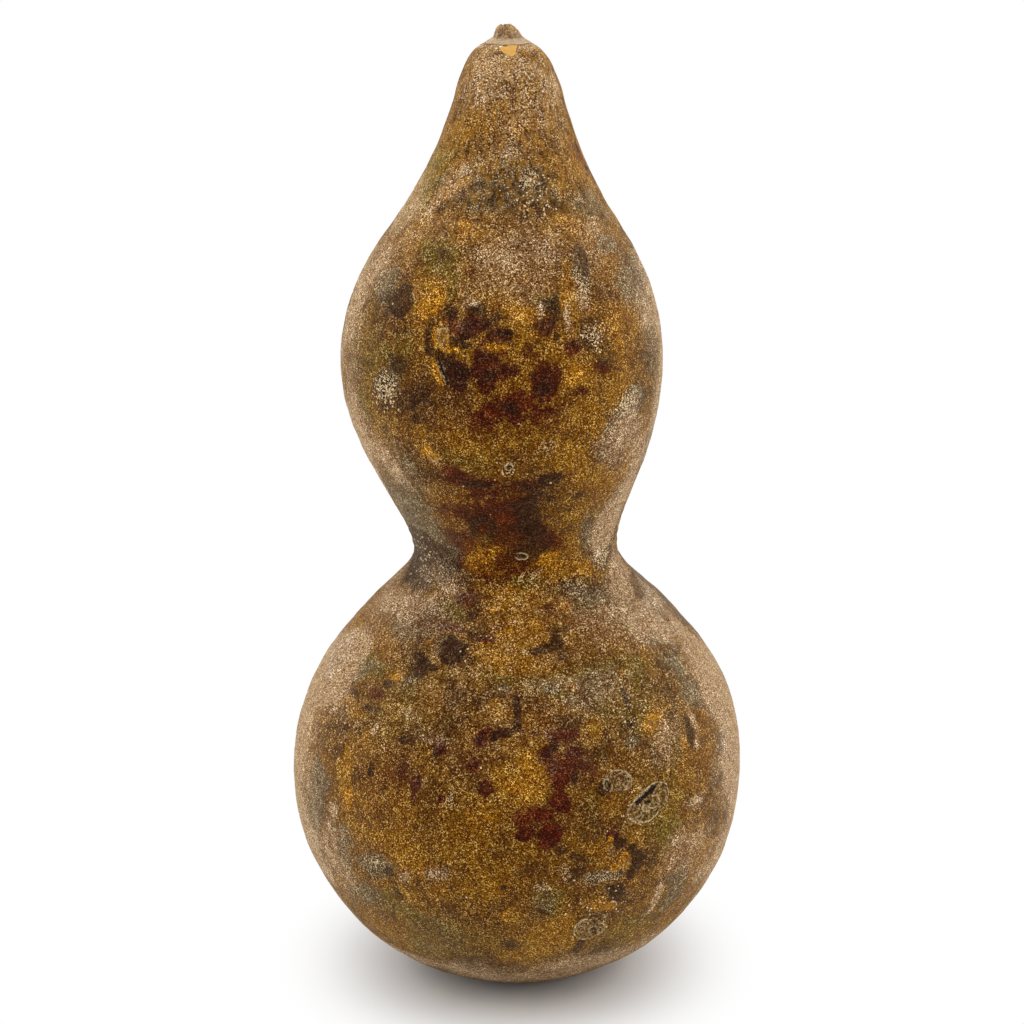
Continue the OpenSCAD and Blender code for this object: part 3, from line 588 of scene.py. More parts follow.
class GourdStageSizes(bpy.types.PropertyGroup):
    """Sizes of the floor, the camera and the lamps."""

    floor_radius: FloatProperty(name="Floor", description="Radius of the floor", default=5.0, unit="LENGTH")
    distance: FloatProperty(
        name="Distance", description="From the camera to the gourd's middle", default=1.0, unit="LENGTH"
    )
    height: FloatProperty(
        name="Aim", description="Height that the camera looks at", default=0.1485, unit="LENGTH"
    )
    elevation: FloatProperty(
        name="Elevation", description="Camera above the horizon", default=math.radians(15.5), subtype="ANGLE"
    )
    lens: FloatProperty(name="Lens", description="Focal length in millimetres", default=112.57, min=20)
    surround: FloatProperty(
        name="Surround", description="Strength of the light from the sides and from behind", default=0.85
    )
    front: FloatProperty(
        name="Front surround", description="Strength of the light from the camera's side", default=0.12
    )
    side_power: FloatProperty(name="Sides", description="Power of each side lamp", default=10.5, unit="POWER")
    top_power: FloatProperty(name="Top", description="Power of the lamp above", default=9.0, unit="POWER")
    front_power: FloatProperty(name="Front", description="Power of the lamp in front", default=0.8, unit="POWER")


# The outline


def ease(t):
    """0 below 0, 1 above 1 and an even S between them."""
    t = np.clip(t, 0, 1)
    return t * t * (3 - 2 * t)


def outline_curve(steps):
    """Points (radius, height) up the outline: on each span a cubic curve through two stations.

    Its handles lie along the stations' leans, at a share of the span's height from them."""
    points = []
    t = np.linspace(0, 1, steps, endpoint=False)[:, None]
    for low, high in zip(STATIONS, STATIONS[1:]):
        rise = high[1] - low[1]
        lean_low, lean_high = np.radians(low[2]), np.radians(high[2])
        a, d = np.array(low[:2]), np.array(high[:2])
        b = a + low[4] * rise * np.array([np.sin(lean_low), np.cos(lean_low)])
        c = d - high[3] * rise * np.array([np.sin(lean_high), np.cos(lean_high)])
        points.append((1 - t) ** 3 * a + 3 * (1 - t) ** 2 * t * b + 3 * (1 - t) * t * t * c + t**3 * d)
    points.append(np.array([STATIONS[-1][:2]]))
    return np.vstack(points)


OUTLINE = outline_curve(160)
ALONG = np.concatenate([[0], np.cumsum(np.hypot(*np.diff(OUTLINE, axis=0).T))])
SLOPE = np.gradient(OUTLINE, ALONG, axis=0)
SLOPE /= np.hypot(SLOPE[:, 0], SLOPE[:, 1])[:, None]


def bow(height):
    """Shift of the centre line along X at a height: an eased step between each two of its stations."""
    shift = np.full_like(height, BOW[0][1], dtype=float)
    for low, high in zip(BOW, BOW[1:]):
        shift += (high[1] - low[1]) * ease((height - low[0]) / (high[0] - low[0]))
    return shift


def along_at(height):
    """Length along the outline at which it reaches a height."""
    return np.interp(height, OUTLINE[:, 1], ALONG)


def smooth_skin(side, along):
    """Points and outward normals of the skin without its relief.

    The outline's radius at a length along it is turned by the side angle, in radians, about the bowed
    centre line, and the outline's normal is turned with it."""
    side, along = np.broadcast_arrays(side, along)
    radius = np.interp(along, ALONG, OUTLINE[:, 0])
    height = np.interp(along, ALONG, OUTLINE[:, 1])
    out = np.interp(along, ALONG, SLOPE[:, 1])
    up = -np.interp(along, ALONG, SLOPE[:, 0])
    across, front = np.sin(side), -np.cos(side)
    points = np.stack([bow(height) + radius * across, radius * front, height], -1)
    normals = np.stack([out * across, out * front, up], -1)
    return points, normals / np.linalg.norm(normals, axis=-1, keepdims=True)


def waves(points, length, seed, count=26):
    """A smooth random field, mostly from -1 to 1: a sum of plane waves of about one wavelength."""
    rng = np.random.default_rng(seed)
    ways = rng.normal(size=(count, 3))
    ways *= (2 * np.pi / length * rng.uniform(0.7, 1.5, count) / np.linalg.norm(ways, axis=1))[:, None]
    total = np.zeros(points.shape[:-1])
    for way, phase in zip(ways, rng.uniform(0, 2 * np.pi, count)):
        total += np.sin(points @ way + phase)
    return total * 0.5 * math.sqrt(2 / count)


def spot(side, along, mark_side, height, half_width, half_height, turn, bend=(0, 0)):
    """Distance from a mark's middle, over the skin, where 1 is the mark's edge.

    The way round is the arc at the point's own radius, and the way up is along the outline. The bend
    shifts both, so that a mark's outline wanders."""
    radius = np.interp(along, ALONG, OUTLINE[:, 0])
    around = (side - math.radians(mark_side) + np.pi) % (2 * np.pi) - np.pi
    u, v = radius * around + bend[0], along - along_at(height) + bend[1]
    c, s = math.cos(math.radians(turn)), math.sin(math.radians(turn))
    return np.hypot((c * u + s * v) / half_width, (c * v - s * u) / half_height)


def relief(side, along, points, sizes):
    """Height of the skin's unevenness in millimetres: broad lumps, ripples, pits, ribs up the neck,
    creases round the waist, a pressed round mark and a chipped seat, fading at the foot and the seat."""
    height = points[..., 2]
    lump, ripple, pits, fibre = (s / MM for s in (sizes.lump, sizes.ripple, sizes.pits, sizes.fibre))
    total = lump * waves(points, 46, 3) + ripple * waves(points, 12, 5) + pits * waves(points, 4.6, 8, 40)
    ribs = sum(np.sin(n * side + 1.7 * n + 0.02 * height) for n in (17, 23, 31, 38)) / 3
    total += fibre * ribs * ease((height - 225) / 30)
    creases = np.sin(1.9 * height + 2.2 * waves(points, 30, 12))
    total += 0.14 * creases * np.exp(-(((height - 142) / 8) ** 2))
    disc = spot(side, along, 0.2, 83.4, 8.2, 8.2, 0)
    total -= 0.22 * ease((1.05 - disc) / 0.16) - 0.16 * np.exp(-(((disc - 1.1) / 0.09) ** 2))
    total -= 0.45 * ease(1.3 - spot(side, along, 2, 293.6, 3.2, 3.0, 0))
    total -= 0.5 * np.exp(-(spot(side, along, -24, 209, 9, 11, -25) ** 2))
    return total * ease(height / 7) * ease((SEAT - 0.3 - height) / 3)


def skin(side, along, lift, sizes):
    """Points of the real skin, raised by a lift in millimetres, and its smooth normals."""
    points, normals = smooth_skin(side, along)
    raised = relief(side, along, points, sizes) + lift
    return points + raised[..., None] * normals, normals


def back_marks():
    """Stains for the sides and the back, drawn at random in the way that the front is stained."""
    rng = np.random.default_rng(41)
    kinds = ("mould", "grey", "olive", "red", "ochre", "mould", "orange", "dust")
    marks = []
    for k in range(96):
        kind = kinds[k % len(kinds)]
        side = rng.uniform(78, 282)
        height = rng.uniform(14, 262)
        size = rng.uniform(2.0, 4.5) if kind == "orange" else rng.uniform(4, 15)
        marks.append((kind, side, height, size, size * rng.uniform(0.4, 1.7), rng.uniform(-60, 60),
                      rng.uniform(0.6, 1.05)))
    return tuple(marks)


def stain_masks(side, along):
    """For each kind of stain, how strongly it covers each point: the strongest of its marks.

    A mark fades from its middle to past its edge. Its distances are bent by smooth random fields, less
    for a small mark, so that no mark is an ellipse."""
    points, _ = smooth_skin(side, along)
    broad = [waves(points, 26, seed) for seed in (71, 72)]
    narrow = [waves(points, 9, seed) for seed in (73, 74)]
    masks = {kind: np.zeros(points.shape[:-1]) for kind in STAINS}
    # The dust kind also takes the painted rim light and painted light from above of the side marks.
    for kind, mark_side, height, half_width, half_height, turn, strength in (
        *STAIN_MARKS, *DUST_AND_RIM_LIGHT_MARKS, *back_marks()
    ):
        size = min(half_width, half_height)
        bend = [min(0.5 * size, 6) * b + min(0.22 * size, 1.6) * n for b, n in zip(broad, narrow)]
        d = spot(side, along, mark_side, height, half_width, half_height, turn, bend)
        solid = 1 + 0.45 * max(0, 1 - size / 3)
        masks[kind] = np.maximum(masks[kind], solid * strength * ease((1.6 - d) / 1.2))
    masks["dust"] = np.maximum(masks["dust"], 0.9 * ease((points[..., 2] - 292.3) / 1.6))
    return masks


# Meshes


def closed_faces(rows, columns):
    """Quads between the rings of a grid, and triangles from its first and last ring to their poles.

    The poles are the two points after the grid's own."""
    ring = np.arange(columns)
    after = (ring + 1) % columns
    base = (np.arange(rows - 1) * columns)[:, None]
    quads = np.stack([base + ring, base + after, base + columns + after, base + columns + ring], -1)
    top = (rows - 1) * columns
    first, last = rows * columns, rows * columns + 1
    triangles = np.concatenate([
        np.stack([np.full(columns, first), after, ring], -1),
        np.stack([np.full(columns, last), top + ring, top + after], -1),
    ])
    return quads.reshape(-1, 4), triangles


def looped_faces(rows, columns):
    """Quads of a grid that closes on itself both ways, as a ring does."""
    i, k = np.meshgrid(np.arange(rows), np.arange(columns), indexing="ij")
    i2, k2 = (i + 1) % rows, (k + 1) % columns
    quads = np.stack([i * columns + k, i * columns + k2, i2 * columns + k2, i2 * columns + k], -1)
    return quads.reshape(-1, 4), np.zeros((0, 3), int)


def volume(points, quads, triangles):
    """Signed volume within the faces: a sixth of the sum of their corners' triple products."""
    fans = np.concatenate([triangles, quads[:, [0, 1, 2]], quads[:, [0, 2, 3]]])
    a, b, c = (points[fans[:, n]] for n in range(3))
    return np.einsum("ij,ij->i", a, np.cross(b, c)).sum() / 6


def add_piece(name, points, quads, triangles, material, attributes=()):
    """A smooth-shaded mesh object from points in millimetres, with its faces turned outwards."""
    if volume(points, quads, triangles) < 0:
        quads, triangles = quads[:, ::-1], triangles[:, ::-1]
    mesh = bpy.data.meshes.new(name)
    mesh.from_pydata((points * MM).tolist(), [], [*quads.tolist(), *triangles.tolist()])
    mesh.polygons.foreach_set("use_smooth", np.ones(len(mesh.polygons), bool))
    for key, values in dict(attributes).items():
        layer = mesh.attributes.new(key, "FLOAT", "POINT")
        layer.data.foreach_set("value", np.ascontiguousarray(values, np.float32).ravel())
    mesh.materials.append(material)
    mesh.update()
    if mesh.validate():
        raise RuntimeError(f"{name} had faces that don't hold")
    piece = bpy.data.objects.new(name, mesh)
    bpy.context.scene.collection.objects.link(piece)
    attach(piece, "root")
    return piece


def joined(parts):
    """One set of points, quads, triangles and attributes from several."""
    points, quads, triangles, values, count = [], [], [], {}, 0
    for part_points, part_quads, part_triangles, part_values in parts:
        points.append(part_points)
        quads.append(part_quads + count)
        triangles.append(part_triangles + count)
        for key, value in part_values.items():
            values.setdefault(key, []).append(value)
        count += len(part_points)
    return (np.concatenate(points), np.concatenate(quads), np.concatenate(triangles),
            {key: np.concatenate(value) for key, value in values.items()})


def oval(half_width, half_height):
    """Corners of an ellipse."""
    steps = np.linspace(0, 2 * np.pi, 16, endpoint=False)
    return tuple(zip(half_width * np.cos(steps), half_height * np.sin(steps)))


def patch_mesh(mark, rings, spokes, profile, sizes, sink=0.35):
    """A thin closed flake that lies on the skin.

    Its top is a grid of rings and spokes: a ring's points stand at a share of the outline's reach,
    which runs through the corners and has small waves. They are laid over the skin and raised by the
    profile. Its underside is three of those rings sunk into the skin."""
    side, height, turn, corners, ragged, seed = mark
    rng = np.random.default_rng(seed)
    share = np.linspace(0, 1, rings + 1)[1:, None]
    angle = np.linspace(-np.pi, np.pi, spokes, endpoint=False)[None, :]
    corners = np.array(corners)
    reach = np.interp(angle, np.arctan2(corners[:, 1], corners[:, 0]), np.hypot(*corners.T), period=2 * np.pi)
    reach = reach * (1 + sum(
        ragged / n**0.6 * np.sin(n * angle + rng.uniform(0, 6.3)) for n in (3, 5, 8, 13, 19, 29)
    ))
    x = np.append((share * reach * np.cos(angle)).ravel(), 0)
    y = np.append((share * reach * np.sin(angle)).ravel(), 0)
    inward = np.append(((1 - share) * reach).ravel(), reach.mean())
    c, s = math.cos(math.radians(turn)), math.sin(math.radians(turn))
    u, v = c * x - s * y, s * x + c * y
    along = np.clip(along_at(height) + v, 1, ALONG[-1] - 0.2)
    around = math.radians(side) + u / np.interp(along, ALONG, OUTLINE[:, 0])
    lift, values = profile(inward, x, y)
    top, _ = skin(around, along, lift, sizes)
    under, _ = skin(around, along, np.full_like(lift, -sink), sizes)
    values.update(stain_masks(around, along))
    sunk = [rings - 1, 2 * rings // 3, rings // 3]
    below = under[:-1].reshape(rings, spokes, 3)[sunk]
    points = np.concatenate([top[:-1], below.reshape(-1, 3), top[-1:], under[-1:]])
    doubled = {}
    for key, value in values.items():
        ringed = value[:-1].reshape(rings, spokes)
        doubled[key] = np.concatenate([ringed.ravel(), ringed[sunk].ravel(), value[-1:], value[-1:]])
    quads, triangles = closed_faces(rings + len(sunk), spokes)
    if volume(points - points.mean(0), quads, triangles) < 0:
        quads, triangles = quads[:, ::-1], triangles[:, ::-1]
    return points, quads, triangles, doubled


# Shader nodes


class Wiring:
    """Places nodes in one tree, joins them and spreads them out from left to right."""

    def __init__(self, tree):
        self.tree = tree
        self.count = 0

    def add(self, kind, inputs=(), **settings):
        """A node with its settings, whose inputs are joined to sockets or set to values."""
        node = self.tree.nodes.new(kind)
        for key, value in settings.items():
            setattr(node, key, value)
        for key, value in dict(inputs).items():
            if isinstance(value, bpy.types.NodeSocket):
                self.tree.links.new(value, node.inputs[key])
            else:
                node.inputs[key].default_value = value
        node.location = (180 * (self.count // 6), -190 * (self.count % 6))
        self.count += 1
        return node

    def attribute(self, name):
        """The value of one of the mesh's attributes."""
        return self.add("ShaderNodeAttribute", attribute_name=name).outputs["Fac"]

    def noise(self, vector, scale, detail=3.0, roughness=0.55):
        """Noise of 0 to 1, whose features are about one over the scale in size, in metres."""
        return self.add("ShaderNodeTexNoise", {
            "Vector": vector, "Scale": scale, "Detail": detail, "Roughness": roughness,
        }).outputs["Fac"]

    def math(self, operation, a, b=0.5, clamp=False):
        """Arithmetic on two values."""
        return self.add("ShaderNodeMath", {0: a, 1: b}, operation=operation, use_clamp=clamp).outputs[0]

    def step(self, value, low, high, bottom=0.0, top=1.0):
        """A smooth step from one value to another between two limits."""
        return self.add("ShaderNodeMapRange", {
            "Value": value, "From Min": low, "From Max": high, "To Min": bottom, "To Max": top,
        }, interpolation_type="SMOOTHSTEP").outputs["Result"]

    def mix(self, share, a, b, blend="MIX"):
        """A colour mixed from two by a share."""
        return self.add("ShaderNodeMix", {0: share, 6: a, 7: b}, data_type="RGBA",
                        blend_type=blend).outputs[2]

    def stretch(self, vector, scale):
        """Coordinates scaled by three factors."""
        return self.add("ShaderNodeMapping", {"Vector": vector, "Scale": scale}).outputs["Vector"]

    def coordinates(self):
        """The piece's own coordinates in metres."""
        return self.add("ShaderNodeTexCoord").outputs["Object"]


def rgba(colour):
    """A colour property with full opacity."""
    return (*colour, 1.0)


def new_group(name, inputs, outputs):
    """An empty shader node group with named sockets; returns its wiring, its inputs and its outlet."""
    group = bpy.data.node_groups.new(name, "ShaderNodeTree")
    kinds = {"value": "NodeSocketFloat", "colour": "NodeSocketColor", "vector": "NodeSocketVector"}
    for key, kind, *default in inputs:
        socket = group.interface.new_socket(key, in_out="INPUT", socket_type=kinds[kind])
        if default:
            socket.default_value = default[0]
    for key, kind in outputs:
        group.interface.new_socket(key, in_out="OUTPUT", socket_type=kinds[kind])
    wiring = Wiring(group)
    inlet = wiring.add("NodeGroupInput").outputs
    return wiring, inlet, lambda values: wiring.add("NodeGroupOutput", values)


def grain_group():
    """Fine grain: a mask of dark pores, one of pale grains and a height.

    Each cell of a Voronoi division has a random value. Low ones are pores and high ones pale grains,
    which crowd where a broader noise or the crowd is high; the pale grains are partly painted glints.
    The height is a dome on each cell."""
    if "Grain" in bpy.data.node_groups:
        return bpy.data.node_groups["Grain"]
    w, inlet, out = new_group(
        "Grain",
        (("Vector", "vector"), ("Scale", "value", 3600.0), ("Amount", "value", 1.0),
         ("Crowd", "value", 0.0)),
        (("Dark", "value"), ("Pale", "value"), ("Height", "value")),
    )
    cells = w.add("ShaderNodeTexVoronoi", {"Vector": inlet["Vector"], "Scale": inlet["Scale"]}).outputs
    random = w.add("ShaderNodeSeparateColor", {0: cells["Color"]}).outputs["Red"]
    broad = w.noise(inlet["Vector"], w.math("MULTIPLY", inlet["Scale"], 0.09), 4.0, 0.6)
    crowd = w.math("MULTIPLY", w.math("SUBTRACT", broad, 0.5), 0.5)
    crowd = w.math("ADD", crowd, w.math("MULTIPLY", inlet["Crowd"], 0.2))
    dark = w.step(random, 0.76, 0.32)
    # Pale grains: partly salt and grit, partly painted glints.
    pale = w.step(w.math("ADD", random, crowd), 0.82, 1.0)
    out({"Dark": w.math("MULTIPLY", dark, inlet["Amount"], clamp=True),
         "Pale": w.math("MULTIPLY", pale, inlet["Amount"], clamp=True),
         "Height": w.math("SUBTRACT", 1.0, cells["Distance"])})
    return w.tree


def blotch_group():
    """A stain's ragged mask: the mark's own mask, eaten away and broken up by noise at its edge."""
    if "Ragged stain" in bpy.data.node_groups:
        return bpy.data.node_groups["Ragged stain"]
    w, inlet, out = new_group(
        "Ragged stain",
        (("Vector", "vector"), ("Cover", "value", 0.0), ("Scale", "value", 90.0),
         ("Ragged", "value", 1.6), ("Softness", "value", 0.2)),
        (("Mask", "value"),),
    )
    noise = w.noise(inlet["Vector"], inlet["Scale"], 8.0, 0.78)
    shift = w.math("MULTIPLY", w.math("SUBTRACT", noise, 0.5), inlet["Ragged"])
    level = w.math("ADD", inlet["Cover"], shift)
    low = w.math("SUBTRACT", 0.5, inlet["Softness"])
    high = w.math("ADD", 0.5, inlet["Softness"])
    out({"Mask": w.step(level, low, high)})
    return w.tree


def fibre_group():
    """Streaks that run along Z: noise on coordinates that are pressed together along Z."""
    if "Fibres" in bpy.data.node_groups:
        return bpy.data.node_groups["Fibres"]
    w, inlet, out = new_group(
        "Fibres",
        (("Vector", "vector"), ("Scale", "value", 900.0)),
        (("Streak", "value"),),
    )
    pressed = w.stretch(inlet["Vector"], (1.0, 1.0, 0.06))
    out({"Streak": w.noise(pressed, inlet["Scale"], 3.0, 0.6)})
    return w.tree


def dust_and_top_light_group():
    """Dust, partly painted light from above: a mask that is strong where the surface faces up and where noise
    lets it gather.
    """
    if "Settled dust and top light" in bpy.data.node_groups:
        return bpy.data.node_groups["Settled dust and top light"]
    w, inlet, out = new_group(
        "Settled dust and top light",
        (("Vector", "vector"), ("Scale", "value", 220.0), ("Amount", "value", 0.4)),
        (("Mask", "value"),),
    )
    normal = w.add("ShaderNodeNewGeometry").outputs["Normal"]
    up = w.add("ShaderNodeSeparateXYZ", {0: normal}).outputs["Z"]
    facing = w.step(up, 0.0, 0.75)
    gather = w.step(w.noise(inlet["Vector"], inlet["Scale"], 5.0, 0.65), 0.38, 0.68)
    cover = w.math("MULTIPLY", w.math("MULTIPLY", facing, gather), inlet["Amount"], clamp=True)
    out({"Mask": cover})
    return w.tree


def rind_group():
    """The stained skin's colour, roughness and height: brown mottling, then each stain over it in turn,
    settled dust that is partly painted light from above, and the speckle over all, whose pale grains
    are partly painted glints."""
    if "Stained rind" in bpy.data.node_groups:
        return bpy.data.node_groups["Stained rind"]
    colours = ("Light", "Dark", "Ochre", "Red", "Grey", "Olive", "Mould", "Orange", "Dust", "Salt",
               "Pore")
    w, inlet, out = new_group(
        "Stained rind",
        (("Vector", "vector"), *((f"{key.capitalize()} cover", "value", 0.0) for key in STAINS),
         *((key, "colour") for key in colours), ("Speckle", "value", 1.0)),
        (("Color", "colour"), ("Roughness", "value"), ("Height", "value")),
    )
    place = inlet["Vector"]
    broad = w.step(w.noise(place, 34.0, 6.0, 0.66), 0.38, 0.62)
    colour = w.mix(broad, inlet["Dark"], inlet["Light"])
    patchy = w.step(w.noise(place, 110.0, 7.0, 0.7), 0.47, 0.56)
    colour = w.mix(w.math("MULTIPLY", patchy, 0.6), colour, inlet["Ochre"])
    smudge = w.step(w.noise(w.stretch(place, (1.3, 1.0, 0.8)), 85.0, 7.0, 0.72), 0.55, 0.62)
    colour = w.mix(w.math("MULTIPLY", smudge, 0.65), colour, inlet["Dark"])
    # The Dust layer also carries the painted rim light and painted light from above of the side marks.
    layers = (("Olive", 70.0, 1.6, 0.3), ("Ochre", 95.0, 2.2, 0.22), ("Red", 120.0, 3.0, 0.16),
              ("Grey", 110.0, 2.4, 0.18), ("Mould", 130.0, 2.6, 0.15), ("Orange", 190.0, 2.4, 0.14),
              ("Dust", 100.0, 2.2, 0.28))
    strength = {"Olive": 0.9, "Ochre": 0.92, "Red": 0.94, "Grey": 0.75, "Mould": 0.88, "Orange": 0.92,
                "Dust": 0.92}
    masks = {}
    for key, scale, ragged, soft in layers:
        node = w.add("ShaderNodeGroup", node_tree=blotch_group())
        for name, value in (("Scale", scale), ("Ragged", ragged), ("Softness", soft)):
            node.inputs[name].default_value = value
        w.tree.links.new(place, node.inputs["Vector"])
        w.tree.links.new(inlet[f"{key} cover"], node.inputs["Cover"])
        ragged_mask = w.math("MULTIPLY", node.outputs["Mask"], w.step(inlet[f"{key} cover"], 0.0, 0.6))
        wash = w.math("MULTIPLY", inlet[f"{key} cover"], 0.55, clamp=True)
        masks[key] = w.math("MAXIMUM", ragged_mask, wash)
        tint = inlet[key]
        if key == "Red":
            deep = w.step(w.noise(place, 230.0, 6.0, 0.75), 0.38, 0.54)
            tint = w.mix(deep, tint, w.mix(1.0, tint, (0.5, 0.25, 0.5, 1), "MULTIPLY"))
        colour = w.mix(w.math("MULTIPLY", masks[key], strength[key]), colour, tint)
    # Settled dust on upward faces, partly painted light from above.
    dust_and_top_light = w.add("ShaderNodeGroup", {"Vector": place, "Amount": 0.22}, node_tree=dust_and_top_light_group())
    bare = w.step(masks["Mould"], 0.0, 1.0, 1.0, 0.3)
    colour = w.mix(w.math("MULTIPLY", dust_and_top_light.outputs["Mask"], bare), colour, inlet["Dust"])
    speckle = w.add("ShaderNodeGroup", {
        "Vector": place, "Amount": inlet["Speckle"], "Crowd": inlet["Salt cover"],
    }, node_tree=grain_group())
    pored = w.mix(speckle.outputs["Dark"], colour, w.mix(1.0, colour, inlet["Pore"], "MULTIPLY"))
    # Pale grains take a brightened copy of the colour, mixed towards the salt tone where salt and dust lie:
    # partly salt and grit, partly painted glints.
    painted_glint_tone = w.add("ShaderNodeVectorMath", {0: colour, 1: (2.7, 3.5, 5.0)}, operation="MULTIPLY").outputs["Vector"]
    bleached = w.math("MAXIMUM", inlet["Salt cover"], w.math("MULTIPLY", inlet["Dust cover"], 0.8))
    white = w.step(bleached, 0.0, 1.0, 0.3, 0.9)
    soaked = w.math("MAXIMUM", masks["Red"], w.math("MULTIPLY", masks["Mould"], 0.8))
    white = w.math("MULTIPLY", white, w.math("MAXIMUM", w.step(soaked, 0.0, 1.0, 1.0, 0.2), inlet["Salt cover"]))
    colour = w.mix(speckle.outputs["Pale"], pored, w.mix(white, painted_glint_tone, inlet["Salt"]))
    rough = w.step(w.noise(place, 400.0, 4.0), 0.3, 0.7, 0.38, 0.62)
    height = w.math("ADD", w.math("MULTIPLY", speckle.outputs["Height"], 0.6),
                    w.math("MULTIPLY", w.noise(place, 300.0, 4.0, 0.6), 0.9))
    crusty = w.math("MULTIPLY", masks["Mould"], w.noise(place, 900.0, 3.0, 0.6))
    height = w.math("ADD", height, w.math("MULTIPLY", crusty, 0.6))
    out({"Color": colour, "Roughness": rough, "Height": height})
    return w.tree


def new_material(name):
    """An empty node material with its wiring, its surface shader and the piece's coordinates."""
    material = bpy.data.materials.new(name)
    material.use_nodes = True
    material.node_tree.nodes.clear()
    w = Wiring(material.node_tree)
    outlet = w.add("ShaderNodeOutputMaterial")
    surface = w.add("ShaderNodeBsdfPrincipled")
    w.tree.links.new(surface.outputs["BSDF"], outlet.inputs["Surface"])
    return material, w, surface, w.coordinates()


def feed(w, surface, **values):
    """Joins or sets the surface shader's inputs, named with underscores for spaces."""
    for key, value in values.items():
        socket = surface.inputs[key.replace("_", " ")]
        if isinstance(value, bpy.types.NodeSocket):
            w.tree.links.new(value, socket)
        else:
            socket.default_value = value


def bump(w, height, distance, strength=1.0):
    """A normal from a height, whose full rise is a distance in metres."""
    return w.add("ShaderNodeBump", {"Height": height, "Distance": distance, "Strength": strength}
                 ).outputs["Normal"]


def placed_rind(w, place, colours, speckle=1.0):
    """The stained rind's group in a material, joined to the piece's stain attributes."""
    inputs = {"Vector": place, "Speckle": speckle}
    for key in STAINS:
        inputs[f"{key.capitalize()} cover"] = w.attribute(key)
    for key in ("light", "dark", "ochre", "red", "grey", "olive", "mould", "orange", "dust"):
        inputs[key.capitalize()] = rgba(getattr(colours, key))
    inputs["Salt"] = rgba(colours.glint)
    inputs["Pore"] = rgba(colours.pore)
    return w.add("ShaderNodeGroup", inputs, node_tree=rind_group()).outputs


def skin_material(colours):
    """The skin: the stained rind outside, with fibres towards the stem, and bare wood inside."""
    material, w, surface, place = new_material("Gourd skin")
    rind = placed_rind(w, place, colours)
    fibres = w.add("ShaderNodeGroup", {"Vector": place, "Scale": 700.0}, node_tree=fibre_group())
    height = w.add("ShaderNodeSeparateXYZ", {0: place}).outputs["Z"]
    neck = w.step(height, 0.222, 0.262)
    streak = w.math("MULTIPLY", w.step(fibres.outputs["Streak"], 0.42, 0.68), w.math("MULTIPLY", neck, 0.5))
    colour = w.mix(w.math("MULTIPLY", streak, 0.7), rind["Color"], rgba(colours.orange))
    inner = w.attribute("inner")
    wood = w.mix(w.noise(place, 300.0, 5.0), rgba(colours.inside), rgba(colours.light))
    colour = w.mix(inner, colour, wood)
    relief_height = w.math("ADD", rind["Height"], w.math("MULTIPLY", streak, 0.8))
    feed(w, surface, Base_Color=colour, Roughness=rind["Roughness"], Normal=bump(w, relief_height, 0.0004),
         Specular_IOR_Level=0.04, Sheen_Weight=0.25, Sheen_Roughness=0.35,
         Sheen_Tint=rgba(colours.glint))
    return material


def crust_material(colours):
    """Dried sap and lifted skin: the stained rind, darker, with pale ragged ridges that are partly painted
    highlight, black cracks and bare orange rind where it flaked off."""
    material, w, surface, place = new_material("Dried sap crust")
    rind = placed_rind(w, place, colours, 1.2)
    darker = w.mix(w.math("MULTIPLY", w.attribute("scab"), 0.45), rind["Color"], rgba(colours.mould))
    away = w.math("ABSOLUTE", w.math("SUBTRACT", w.noise(place, 850.0, 3.0, 0.6), 0.5))
    veins = w.math("MULTIPLY", w.step(away, 0.035, 0.01), w.attribute("grit"))
    colour = w.mix(w.math("MULTIPLY", veins, 0.55), darker, rgba(colours.glint))
    bare = w.math("MULTIPLY", w.math("SUBTRACT", w.attribute("warm"), 0.9), 0.4)
    torn = w.step(w.math("ADD", w.noise(place, 420.0, 6.0, 0.7), bare), 0.42, 0.56)
    warm = w.math("MULTIPLY", w.math("MINIMUM", w.attribute("warm"), 1.0), torn)
    fresh = w.math("SUBTRACT", w.attribute("warm"), 1.1, clamp=True)
    shade = w.mix(w.step(w.noise(place, 1500.0, 3.0, 0.6), 0.62, 0.36), rgba(colours.orange),
                  rgba(colours.dark))
    colour = w.mix(warm, colour, w.mix(fresh, shade, rgba(colours.break_)))
    # Pale ridges: pale dried sap, partly a painted highlight where the raised ridges catch light.
    worn = w.step(w.noise(place, 1500.0, 3.0, 0.6), 0.34, 0.5)
    ridge = w.math("MULTIPLY", w.attribute("ridge"), worn)
    colour = w.mix(ridge, colour, rgba(colours.glint))
    colour = w.mix(w.attribute("crack"), colour, (0.006, 0.004, 0.004, 1))
    feed(w, surface, Base_Color=colour, Roughness=0.55, Normal=bump(w, rind["Height"], 0.0004),
         Specular_IOR_Level=0.04, Sheen_Weight=0.25, Sheen_Roughness=0.35, Sheen_Tint=rgba(colours.glint))
    return material


def speck_material(name, colour, second):
    """Specks: grains of two tones."""
    material, w, surface, place = new_material(name)
    shade = w.mix(w.noise(place, 260.0, 3.0), rgba(colour), rgba(second))
    height = w.noise(place, 2600.0, 2.0)
    feed(w, surface, Base_Color=shade, Roughness=0.55, Normal=bump(w, height, 0.0002))
    return material


